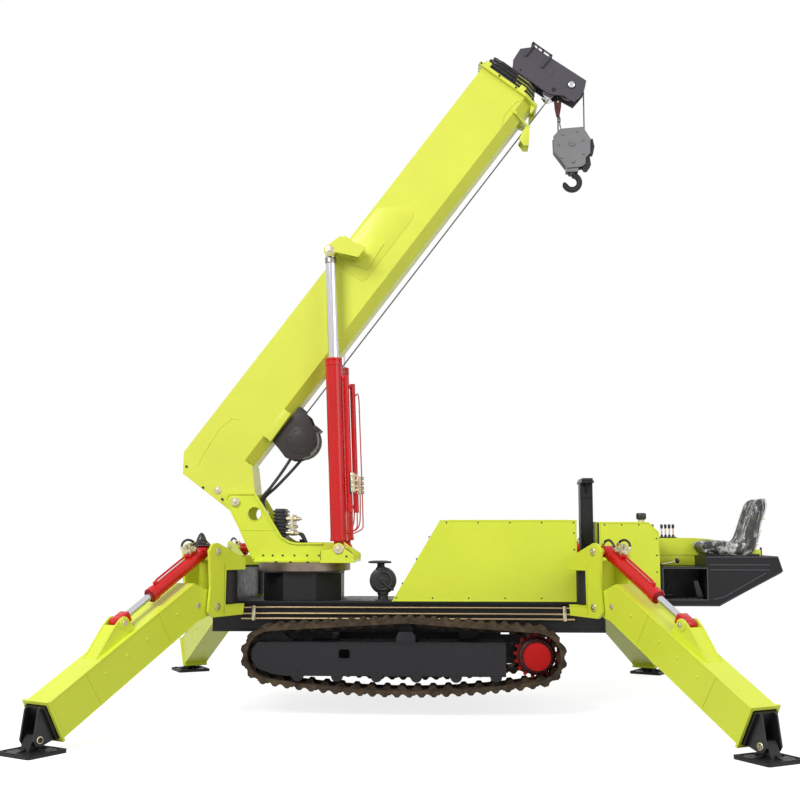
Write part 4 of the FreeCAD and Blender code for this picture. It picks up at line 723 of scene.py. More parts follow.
def levers():
    """The operator's levers, joystick and filler cap."""
    foot = [(0, 0.016), (0.006, 0.0155), (0.012, 0.011), (0.018, 0.012), (0.024, 0.008)]
    grip = [(0, 0.0085), (0.004, 0.0125), (0.03, 0.0135), (0.038, 0.0115), (0.041, 0.006), (0.041, 0)]
    sleeve = [(0, 0.0065), (0.03, 0.0075), (0.075, 0.0085), (0.078, 0.0075)]
    lid = [(0, 0.031), (0.003, 0.043), (0.012, 0.045), (0.055, 0.045), (0.062, 0.041), (0.064, 0.02),
           (0.064, 0)]
    places = (2.325, 2.412, 2.448, 2.484, 2.520)
    piece("lever_plate", "black", "chassis", box((2.300, 0.088, 1.5532), (2.545, 0.202, 1.562), 0.003))
    knobs = piece("lever_knobs", "knob", "chassis", [
        (turned((x, 0.145, 1.5615), Z, foot, 16), turned((x, 0.145, 1.642), Z, grip, 18)) for x in places])
    piece("lever_sleeves", "cream", "chassis", [turned((x, 0.145, 1.566), Z, sleeve, 14) for x in places])
    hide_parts("control_levers")
    fill_x, fill_y = 2.190, -0.05
    piece("filler_neck", "cream", "chassis",
          turned((fill_x, fill_y, 1.606), Z, [(0, 0.030), (0.12, 0.030), (0.122, 0.026)]))
    piece("filler_cap", "knob", "chassis", turned((fill_x, fill_y, 1.724), Z, lid, 28), [
        box((x - 0.003, y - 0.003, 1.738), (x + 0.003, y + 0.003, 1.778), 0.001)
        for x, y in ((fill_x + c * 0.044, fill_y + s * 0.044) for c, s in circle(14))])
    piece("joystick_stem", "zinc", "chassis", bent(
        [(2.26, -0.30, 1.30), (2.32, -0.31, 1.315), (2.40, -0.315, 1.33), (2.455, -0.315, 1.345)], 0.007))
    piece("joystick_knob", "knob", "chassis",
          turned((2.448, -0.315, 1.345), (0.96, 0, 0.28),
                 [(0, 0.008), (0.006, 0.019), (0.018, 0.025), (0.030, 0.021), (0.037, 0.009), (0.038, 0)],
                 20),
          turned((2.292, -0.305, 1.307), (1, 0, 0.15),
                 [(0, 0.024), (0.012, 0.022), (0.02, 0.017), (0.028, 0.018), (0.036, 0.012), (0.05, 0.009)],
                 18))


def step_box_trim():
    """The pressed ribs and bolts of the step box, its pedal and the seat's bracket and latch."""
    for name, side in SIDES:
        lines = [([(2.74, 1.315), (3.27, 1.315)], 0.010, 0.005),
                 ([(2.74, 1.270), (3.27, 1.270)], 0.010, 0.005),
                 ([(2.76, 1.005), (2.86, 1.03), (3.24, 1.245)], 0.010, 0.005),
                 ([(2.706, 1.385), (3.345, 1.385)], 0.012, 0.004),
                 ([(2.392, 0.951), (2.808, 0.951), (3.375, 1.250)], 0.010, 0.004)]
        ribs = [rib(points, wide, side, HOUSING, rise) for points, wide, rise in lines]
        if side < 0:
            ribs.append(rib([(2.316, 1.001), (2.714, 1.001), (2.714, 1.284), (2.316, 1.284)], 0.010, side,
                            HOUSING, 0.004, closed=True))
        piece("box_ribs_" + name, "head", "chassis", ribs)
    piece("well_treads", "head", "chassis", [
        box((2.335 + 0.052 * k, -0.40, 1.0052), (2.365 + 0.052 * k, -0.06, 1.0105), 0.002) for k in range(7)],
        bared([(x, 1.29) for x in (2.33, 2.46, 2.59)], HOUSING, -1, 0.005))
    piece("pedal", "cast", "chassis",
          plate([(2.63, 1.02), (2.69, 1.02), (2.64, 1.17), (2.60, 1.17)], -0.36, -0.30, bevel=0.003),
          tube([(2.36, -0.18, 1.04), (2.42, -0.18, 1.14), (2.47, -0.18, 1.15)], 0.009),
          box((2.34, -0.25, 1.03), (2.43, -0.13, 1.045), 0.004))
    piece("seat_bracket", "lime", "chassis",
          plate([(3.05, 1.3925), (3.22, 1.3925), (3.22, 1.45), (3.16, 1.45)], -0.33, -0.05, bevel=0.002))
    piece("seat_latch", "black", "chassis", box((3.222, -0.30, 1.3925), (3.238, -0.28, 1.47), 0.002))


def deck_parts():
    """The swivel fitting on the deck: base, hub, cap and hose coil."""
    x, y = -0.229, -0.300
    item = piece("deck_swivel", "cast", "chassis",
                 turned((x, y, 0.9803), Z, [(0, 0.075), (0.012, 0.075), (0.016, 0.05), (0.045, 0.045),
                                            (0.06, 0.052), (0.085, 0.052), (0.09, 0.04), (0.2, 0.036)], 32),
                 turned((x, y - 0.042, 1.165), Y, [(0, 0.06), (0.004, 0.108), (0.012, 0.121), (0.026, 0.124),
                                                   (0.058, 0.124), (0.072, 0.121), (0.08, 0.108),
                                                   (0.084, 0.06)], 48),
                 turned((x, y - 0.056, 1.165), Y, [(0, 0.03), (0.003, 0.036), (0.016, 0.036)]),
                 turned((x - 0.02, y, 1.262), Z, [(0, 0.052), (0.01, 0.05), (0.03, 0.036), (0.055, 0.034),
                                                  (0.062, 0.044)], 28),
                 turned((x - 0.03, y, 1.3215), Z, [(0, 0.05), (0.002, 0.103), (0.008, 0.109), (0.014, 0.109),
                                                   (0.02, 0.1), (0.0255, 0.06), (0.026, 0)], 40))
    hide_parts("deck_fitting")
    angles = [math.radians(100 - 250 * k / 39) for k in range(40)]
    piece("deck_swivel_hose", "hose", "chassis",
          tube([(x + math.cos(a) * 0.082, y - 0.052, 1.165 + math.sin(a) * 0.082) for a in angles],
               0.013, 14),
          bent([(x - 0.03, y - 0.060, 1.19), (x + 0.01, y - 0.062, 1.15), (x + 0.05, y - 0.062, 1.11),
                (x + 0.10, y - 0.05, 1.08)], 0.012))


# Turret

def turret_details():
    """Raised edges, weld lines, pins and bolts of the two gooseneck plates."""
    neck, pivot, luff_pin = 0.234, (-1.630, 1.893), (-0.634, 1.452)
    rim = [(-1.452, 1.356), (-1.590, 1.655), (-1.724, 1.911), (-1.694, 1.968), (-1.445, 1.968),
           (-1.191, 1.561), (-1.118, 1.516), (-1.060, 1.502), (-0.800, 1.502)]
    hole = [(-1.447 + c * 0.066, 1.781 + s * 0.066) for c, s in circle(32)]
    for name, side in SIDES:
        piece("turret_rims_" + name, "lime", "turret",
              rib(rim[:5], 0.016, side, neck, 0.010, 0.026), rib(rim[4:], 0.016, side, neck, 0.016, 0.026),
              rib([(-1.578, 1.628), (-1.236, 1.628)], 0.006, side, neck, 0.003),
              side_box(side, (-0.803, neck, 1.350), (-0.793, 0.411, 1.436), 0.002),
              side_box(side, (-1.44, neck, 1.3275), (-0.80, 0.300, 1.349), 0.003),
              rib(hole, 0.007, side, neck, 0.004, closed=True))
        piece("turret_pins_" + name, "zinc", "turret",
              cap(pivot, 0.247, side, [(0, 0.042), (0.006, 0.042), (0.009, 0.038), (0.009, 0.030),
                                       (0.012, 0.029), (0.012, 0)], 40),
              studs([pivot], 0.2585, side, 0.013),
              cap(luff_pin, 0.4105, side, [(0, 0.044), (0.008, 0.044), (0.011, 0.04), (0.011, 0)], 36),
              studs([luff_pin], 0.421, side, 0.014))
        piece("turret_bolts_" + name, "bolt", "turret",
              bared([(x, 1.392) for x in (-1.36, -1.27, -1.175, -1.065, -0.945, -0.835)], 0.2345, side,
                    0.009),
              bared([(-0.56, 1.388)], 0.411, side, 0.009))


def valve_details():
    """The valve stack behind the neck: finned manifold, spools, fittings and hoses."""
    item = piece("valve_body", "cast", "turret", [
        box((-1.285, -0.135, 1.53 + 0.033 * k), (-1.165, 0.135, 1.55 + 0.033 * k), 0.003) for k in range(9)],
        box((-1.27, -0.125, 1.36), (-1.18, 0.125, 1.83), 0.004),
        turned((-1.020, 0, 1.35), Z, [(0, 0.085), (0.02, 0.085), (0.024, 0.074), (0.11, 0.074), (0.115, 0.06),
                                      (0.16, 0.058), (0.165, 0.03), (0.19, 0.03), (0.19, 0)], 32),
        box((-1.29, -0.08, 1.35), (-1.00, 0.08, 1.405), 0.005))
    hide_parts("valve_stack")
    rows = ((1.735, 18, [(0, 0.020), (0.05, 0.020), (0.052, 0.016), (0.075, 0.016), (0.077, 0.022),
                         (0.10, 0.022), (0.104, 0.012), (0.12, 0.012), (0.12, 0)]),
            (1.66, 6, [(0, 0.016), (0.03, 0.016), (0.032, 0.024), (0.06, 0.024), (0.062, 0.015),
                       (0.085, 0.014), (0.085, 0)]),
            (1.60, 18, [(0, 0.018), (0.04, 0.018), (0.044, 0.026), (0.075, 0.026), (0.08, 0.018), (0.08, 0)]))
    spools = [-0.105 + 0.07 * k for k in range(4)]
    piece("valve_fittings", "zinc", "turret",
          [turned((-1.165, y, z), X, profile, count) for y in spools for z, count, profile in rows],
          box((-1.12, -0.125, 1.62), (-1.095, 0.125, 1.775), 0.003))
    for k, y in enumerate(spools):
        hose("valve_hose_%d" % k, [
            (-1.082, y, 1.60), (-1.03, y, 1.585), (-0.985, y * 0.9, 1.52 - 0.01 * k),
            (-0.94 - 0.012 * k, y * 0.8, 1.45), (-0.96 - 0.01 * k, y * 0.8, 1.385)], 0.011, "turret")
    for k, y in enumerate((-0.09, 0.0, 0.09)):
        hose("slew_hose_%d" % k, [
            (-1.285, y, 1.70), (-1.36, y, 1.69), (-1.40, y * 0.8, 1.58), (-1.375, y * 0.6, 1.45),
            (-1.33, y * 0.6, 1.36)], 0.010, "turret")


# Boom

DRUM = (0.830, -0.118)


def boom_details():
    """Doublers, weld lines, the end frame's lugs and bolts, foot bolts and the rope guide."""
    face, foot, saddle = 0.200, (-0.020, 0.207), (2.427, 0.728)
    boss = [(-0.001, 0.046), (0.006, 0.046), (0.010, 0.040), (0.010, 0.0)]
    for name, side in SIDES:
        piece("boom_doublers_" + name, "boom_lime", "boom",
              plate([(2.386, 0.60), (2.394, 0.345), (2.434, 0.318), (3.180, 0.322), (3.240, 0.350),
                     (3.252, 0.395), (3.230, 0.45), (3.06, 0.662), (2.60, 0.668), (2.44, 0.64)],
                    side * 0.198, side * 0.204, bevel=0.002),
              plate([(2.468, 0.530), (2.553, 0.546), (2.808, 0.544), (2.821, 0.392), (2.519, 0.365)],
                    side * 0.203, side * 0.211, bevel=0.0015),
              rib([(0.05, 0.505), (0.162, 0.529), (0.459, 0.559), (0.600, 0.520), (0.632, 0.470),
                   (0.634, 0.445)], 0.006, side, face, 0.0025),
              plate([(0.651, 0.182), (0.972, 0.182), (0.974, 0.100), (0.649, 0.090)],
                    side * 0.188, side * 0.201, bevel=0.001),
              rib([(4.775, 0.18), (4.70, 0.224), (4.53, 0.234), (4.42, 0.184)], 0.01, side, face, 0.004),
              [side_box(side, (4.819, 0.224, z - 0.030), (4.867, 0.236, z + 0.030), 0.003)
               for z in (0.66, 0.245)],
              plate([(4.722, 0.060), (4.715, 0.045), (4.790, 0.0435), (4.790, 0.100)],
                    side * 0.110, side * 0.150, bevel=0.003))
        piece("boom_bolts_" + name, "bolt", "boom",
              bared([(-0.025, 0.585), (-0.085, 0.335), (-0.06, 0.12)], face, side, 0.012),
              bared([(4.805, z) for z in (0.717, 0.10, 0.30, 0.50)], 0.2445, side, 0.010))
        piece("boom_pins_" + name, "zinc", "boom",
              cap(foot, face, side, [(-0.001, 0.036), (0.006, 0.036), (0.009, 0.032), (0.009, 0.026),
                                     (0.013, 0.025), (0.013, 0)]),
              studs([foot], 0.2125, side, 0.013),
              turned((saddle[0], side * 0.263, saddle[1]), (0, -side, 0), boss, 36),
              cap(saddle, 0.411, side, boss, 36), studs([saddle], 0.421, side, 0.017))
    spots = [(y, z) for y in (-0.222, 0.222) for z in (0.70, 0.45, 0.28)]
    spots += [(-0.09, 0.066), (0.09, 0.066), (-0.180, 0.135), (0.180, 0.135)]
    piece("end_frame_bolts", "bolt", "boom",
          [box((4.797, y - 0.012, 0.7375), (4.816, y + 0.012, 0.750), 0.002)
           for y in (-0.16, -0.08, 0.0, 0.08, 0.16)],
          [bolt((4.8195, y, z), X, 0.008, False) for y, z in spots])
    bracket = [(0.206, 0.200), (0.206, 0.150), (0.112, 0.050), (0.095, -0.018), (0.020, -0.018),
               (0.020, 0.0885), (0.112, 0.0885), (0.1995, 0.1785)]
    piece("rope_guide", "boom_lime", "boom", both(lambda side: [
        plate([(side * y, z) for y, z in bracket], 4.605, 4.628, "YZ", 0.002),
        plate([(4.625, -0.015), (4.600, -0.030), (4.461, -0.123), (4.432, -0.084), (4.458, -0.006),
               (4.606, 0.020)], side * 0.083, side * 0.095, bevel=0.002)]),
        plate([(4.612, -0.024), (4.600, -0.030), (4.461, -0.123), (4.450, -0.108)], -0.084, 0.084,
              bevel=0.002))
    piece("rope_guide_roller", "steel", "boom", turned(
        (4.515, -0.084, -0.036), Y,
        [(0, 0.012), (0.003, 0.030), (0.03, 0.022), (0.138, 0.022), (0.165, 0.030), (0.168, 0.012)]))


def collar_details():
    """Lime edges, wear-pad screws and top guards of the four sliding sections' collars."""
    for order in range(1, 5):
        body = "section_%d" % (order + 1)
        half, bevel = 0.212 - order * 0.028, 0.090 - order * 0.008
        low, high = 0.088 + order * 0.028, 0.705 - order * 0.028
        start, top = 4.784 + order * 0.046, 0.752 - order * 0.016
        edges = []
        for side in (-1, 1):
            edge = [(side * half, low + bevel + 0.13), (side * half, low + bevel),
                    (side * (half - bevel), low - 0.012)]
            edges += [sheet([[(x, y + side * 0.0006, z) for y, z in edge]
                             for x in (start + 0.0005, start + 0.0045)]),
                      sheet([[(start - 0.0006, y - side * inset, z + inset * 0.4) for y, z in edge]
                             for inset in (0, 0.014)])]
        piece("collar_edges_%d" % (order + 1), "boom_lime", body, edges)
        pads = [(start + 0.014, z) for z in (low + bevel + 0.10, (low + high) / 2, high - 0.10)]
        piece("collar_screws_%d" % (order + 1), "bolt", body,
              both(lambda side: bared(pads, half, side, 0.007)),
              [bolt((start + 0.014, half * share, top), Z, 0.006, False) for share in (-0.6, -0.2, 0.2, 0.6)])
        piece("collar_guard_%d" % (order + 1), "collar", body, plate(
            [(-half + 0.004, high - 0.03), (-half + 0.014, top - 0.03), (-half * 0.72, top),
             (half * 0.72, top), (half - 0.014, top - 0.03), (half - 0.004, high - 0.03),
             (half - 0.05, high - 0.012), (0.05 - half, high - 0.012)],
            start + 0.002, start + 0.026, "YZ", 0.0015))


def head_details():
    """The head's top bracket, pins, sheave groove and guide roller."""
    piece("head_bracket", "head", "section_5", both(lambda side: [
        [plate([(5.165, z - 0.005), (5.165, z + 0.005), (5.318, z + 0.012), (5.318, z - 0.012)],
               side * 0.094, side * 0.120, bevel=0.001) for z in (0.246, 0.446)],
        plate([(5.150, 0.112), (5.180, 0.160), (5.225, 0.165), (5.240, 0.150)],
              side * 0.094, side * 0.099, bevel=0.001)]),
        [box((5.310, -0.122, low), (5.326, 0.122, high), 0.001) for low, high in
         ((0.236, 0.262), (0.330, 0.348), (0.395, 0.405), (0.440, 0.466))],
        [box((5.310, y - half, 0.240), (5.326, y + half, 0.462), 0.001) for y, half in
         ((-0.116, 0.006), (0.0, 0.018), (0.116, 0.006))],
        [box((5.300, -0.122, low), (5.328, 0.122, low + 0.010), 0.001) for low in (0.232, 0.460)])
    piece("head_pin_caps", "chrome", "section_5", both(lambda side: cap(
        SHEAVE, 0.1095, side, [(0, 0.031), (0.006, 0.031), (0.009, 0.027), (0.010, 0.012), (0.0105, 0)])))
    piece("head_small_pins", "bolt", "section_5",
          turned((5.060, -0.100, 0.018), Y, [(0, 0), (0, 0.020), (0.2, 0.020), (0.2, 0)]),
          cap((5.030, 0.40), 0.0965, -1, [(0, 0.010), (0.003, 0.009), (0.004, 0)], 16))
    piece("head_sheave_groove", "steel", "section_5", turned(
        (SHEAVE[0], -0.026, SHEAVE[1]), Y,
        [(0, 0.06), (0, 0.1185), (0.006, 0.1185), (0.016, 0.110), (0.026, 0.107), (0.036, 0.110),
         (0.046, 0.1185), (0.052, 0.1185), (0.052, 0.06)], 48))
    piece("guide_roller", "chrome", "section_5", turned(
        (5.000, -0.066, 0.036), Y,
        [(0, 0.012), (0, 0.046), (0.008, 0.050), (0.03, 0.036), (0.066, 0.030), (0.102, 0.036),
         (0.124, 0.050), (0.132, 0.046), (0.132, 0.012)], 36))
    piece("guide_cheeks", "head", "section_5", [
        plate([(4.968, 0.090), (5.06, 0.090), (5.05, 0.02), (5.01, -0.020), (4.985, 0.000)],
              y - 0.005, y + 0.005, bevel=0.001) for y in (-0.074, 0.074)])


def block_details():
    """Bolts, rims, the sheave and the rope socket of the hook block."""
    cheek = 0.059
    outline = [(-0.053, -0.196), (0.093, -0.183), (0.125, -0.159), (0.131, -0.095), (0.176, -0.048),
               (0.179, 0.095), (0.109, 0.211), (-0.110, 0.196), (-0.179, 0.119), (-0.174, -0.024)]
    small = [(-0.087, 0.138), (0.052, 0.167), (-0.130, 0.037), (0.109, 0.079), (0.109, -0.059),
             (-0.103, -0.095)]
    piece("block_bolts", "block", "block", both(lambda side: [
        rib(outline, 0.005, side, cheek, 0.0012, closed=True), bared(small, cheek, side, 0.0095),
        studs([(-0.009, 0.056), (0.009, -0.132)], cheek, side, 0.016)]))
    piece("block_sheave_groove", "steel", "block", turned(
        (0, -0.023, 0.050), Y,
        [(0, 0.05), (0, 0.1185), (0.005, 0.1190), (0.015, 0.112), (0.023, 0.110), (0.031, 0.112),
         (0.041, 0.119), (0.046, 0.1185), (0.046, 0.05)], 48))
    guards = ([(0.095, -0.178), (0.120, -0.215), (0.150, -0.215), (0.185, -0.165), (0.172, -0.06),
               (0.130, -0.10)],
              [(0.165, -0.045), (0.205, -0.06), (0.222, 0.02), (0.205, 0.10), (0.170, 0.09)])
    piece("block_yoke_plate", "cast", "block", both(lambda side: [
        plate(guard, side * 0.018, side * 0.044, bevel=0.003) for guard in guards]),
        box((-0.055, -0.040, -0.240), (0.055, 0.040, -0.205), 0.006))
    socket = Matrix.Translation((hang.x - 0.127, 0, hang.z - 0.150))
    piece("rope_socket", "hub_dark", "block", plate(
        [(-0.036, 0.03), (0.036, 0.03), (0.030, -0.05), (0.014, -0.135), (-0.014, -0.135), (-0.030, -0.05)],
        -0.024, 0.024, bevel=0.005), at=socket)
    piece("rope_socket_pin", "zinc", "block",
          turned((0, -0.026, 0.010), Y, [(0, 0.010), (0.052, 0.010)], 12), at=socket)
    tail = smooth_points([(0.014, 0.0, -0.132), (0.020, -0.004, -0.17), (0.016, -0.008, -0.21),
                          (0.022, -0.010, -0.245)])
    clip = [(0, 0.010), (0.002, 0.018), (0.010, 0.018), (0.012, 0.010)]
    piece("rope_tail", "rope", "block", tube(tail, 0.0065, 10), [
        tube([tail[-1], tail[-1] + Vector((c * 0.006, s * 0.006, -0.022)),
              tail[-1] + Vector((c * 0.013, s * 0.012, -0.045))], 0.0016, 6) for c, s in circle(7)], [
        turned((0.008, -0.003, z), Z, clip, 14) for z in (-0.161, -0.191)], at=socket)


def hoist_rope():
    """The hoist rope under the boom, a coaxial piece on each section, and its turns on the drum."""
    line = 0.016
    ends = [4.824, 4.870, 4.916, 4.962, 5.000]
    for k, body in enumerate(["boom", "section_2", "section_3", "section_4", "section_5"]):
        start = 1.030 if k == 0 else ends[k - 1] - 3.35 - 0.02 * k
        piece("hoist_rope_%d" % (k + 1), "rope", body, tube(
            [(start, 0, line), ((start + ends[k]) / 2, 0, line), (ends[k], 0, line)],
            0.0070 - 0.0004 * k, 10))
    piece("hoist_rope_start", "rope", "boom",
          bent([(0.84, 0.0, 0.0085), (0.93, 0.0, 0.014), (1.032, 0, line)], 0.007, 10))
    piece("hoist_rope_head", "rope", "section_5", bent(
        [(4.998, 0, line), (5.04, 0, 0.010), (5.09, 0, 0.006), (5.14, 0, 0.020), (5.198, 0, 0.0315),
         (5.25, 0, 0.0205), (5.295, 0, -0.015)], 0.0068, 10))
    steps = 14 * 24
    turns = [(k / steps, 2 * math.pi * k / 24) for k in range(steps + 1)]
    piece("drum_rope", "rope", "drum", tube(
        [(DRUM[0] + math.cos(angle) * 0.1265, -0.100 + 0.200 * share, DRUM[1] + math.sin(angle) * 0.1265)
         for share, angle in turns], 0.0072, 8))


def winch_details():
    """The winch's side casings and guards, and the drum's flanges."""
    outline = [(0.662, 0.084), (0.612, -0.108), (0.628, -0.165), (0.680, -0.225), (0.755, -0.264),
               (0.840, -0.272), (0.925, -0.245), (0.985, -0.175), (1.062, -0.040), (1.070, 0.084)]
    lid = [(0, 0.132), (0.004, 0.130), (0.007, 0.120), (0.008, 0.075), (0.010, 0.070), (0.010, 0.03),
           (0.011, 0)]
    bolts = [(DRUM[0] + c * 0.10, DRUM[1] + s * 0.10) for c, s in circle(8, 20)]
    piece("winch_casing", "winch", "boom", both(lambda side: [
        plate(outline, side * 0.1405, side * 0.152, bevel=0.004), cap(DRUM, 0.152, side, lid, 48),
        bared(bolts, 0.159, side, 0.007)]),
        box((1.040, -0.150, 0.030), (1.085, 0.150, 0.080), 0.006),
        plate([(0.985, -0.112), (1.030, -0.150), (1.025, -0.205), (0.985, -0.195), (0.965, -0.150)],
              -0.150, 0.150, bevel=0.006))
    piece("drum_flanges", "steel", "drum", both(lambda side: cap(
        DRUM, 0.1075, side, [(0, 0.10), (0, 0.176), (0.003, 0.1785), (0.010, 0.1785), (0.0125, 0.176),
                             (0.0125, 0.10)], 56)))


def winch_hoses():
    """The two hoses from the winch down to the turret, shaped for the boom as it stands."""
    for name, at, foot_x in (("winch_hose_a", (0.640, -0.11, -0.150), -1.400),
                             ("winch_hose_b", (0.720, -0.07, -0.235), -1.385)):
        top = BOOM @ Vector(at)
        foot = Vector((SHIFT + foot_x, at[1], 1.925))
        line = smooth_points([top, top.lerp(foot, 0.35) + Vector((0.004, 0, -0.006)),
                              top.lerp(foot, 0.70) + Vector((0.003, 0, -0.006)), foot,
                              foot + Vector((0.01, 0.01, -0.10)), foot + Vector((0.05, 0.02, -0.20))], 8)
        item = piece(name, "hose", None, tube(line, 0.0145))
        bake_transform(item)


# Luff cylinders

def luff_details():
    """Gland collars, the barrels' pipes, valve block and side accumulator."""
    gland = [(0, 0.0785), (0.002, 0.0835), (0.040, 0.0835), (0.043, 0.080), (0.047, 0.080), (0.050, 0.0835),
             (0.068, 0.0835), (0.072, 0.078), (0.072, 0.052), (0.0, 0.052)]
    plug = [(0, 0.018), (0.014, 0.018), (0.016, 0.013), (0.024, 0.013), (0.026, 0.017), (0.036, 0.017),
            (0.038, 0.010), (0.038, 0)]
    port = [(0, 0.014), (0.012, 0.014), (0.014, 0.010), (0.022, 0.010), (0.022, 0)]
    for name, side in SIDES:
        place = LUFF @ Matrix.Translation((0, side * 0.337, 0))
        piece("luff_collars_" + name, "red", "luff_barrel", turned((1.715, 0, 0), X, gland, 48),
              turned((0.074, 0, 0), X, [(0, 0.0785), (0.004, 0.0815), (0.03, 0.0815), (0.034, 0.0785)], 48),
              tube([(0.34, 0, -0.112), (1.62, 0, -0.112)], 0.027, 20),
              [box((x, -0.020, -0.112), (x + 0.040, 0.020, -0.070), 0.003) for x in (1.575, 0.38)], at=place)
        piece("luff_pipes_" + name, "red", "luff_barrel",
              bent([(1.50, 0, -0.138), (1.52, 0, -0.160), (1.47, 0, -0.172), (1.30, 0, -0.174),
                    (0.72, 0, -0.176), (0.26, 0, -0.176), (0.19, 0, -0.168), (0.165, 0, -0.140),
                    (0.15, 0, -0.105), (0.14, 0, -0.080)], 0.006, 10),
              bent([(0.60, 0.02, -0.155), (0.40, 0.03, -0.150), (0.24, 0.03, -0.140), (0.18, 0.02, -0.11),
                    (0.165, 0.0, -0.082)], 0.006, 10), at=place)
        piece("luff_valve_" + name, "zinc", "luff_barrel",
              box((0.52, -0.035, -0.165), (0.70, 0.035, -0.128), 0.004),
              [(turned((x, 0, -0.160), -Z, plug, count), cap((x, -0.146), 0.034, side, port, 6))
               for x, count in ((0.540, 16), (0.580, 6), (0.628, 16), (0.676, 6))], at=place)
        piece("luff_valve_base_" + name, "cast", "luff_barrel",
              box((0.505, -0.028, -0.128), (0.715, 0.028, -0.114), 0.002), at=place)
        piece("luff_rod_neck_" + name, "steel", "luff_rod", turned(
            (luff.length - 0.115, 0, 0), X,
            [(0, 0.0502), (0.004, 0.054), (0.05, 0.054), (0.06, 0.050)], 36), at=place)


# Outriggers

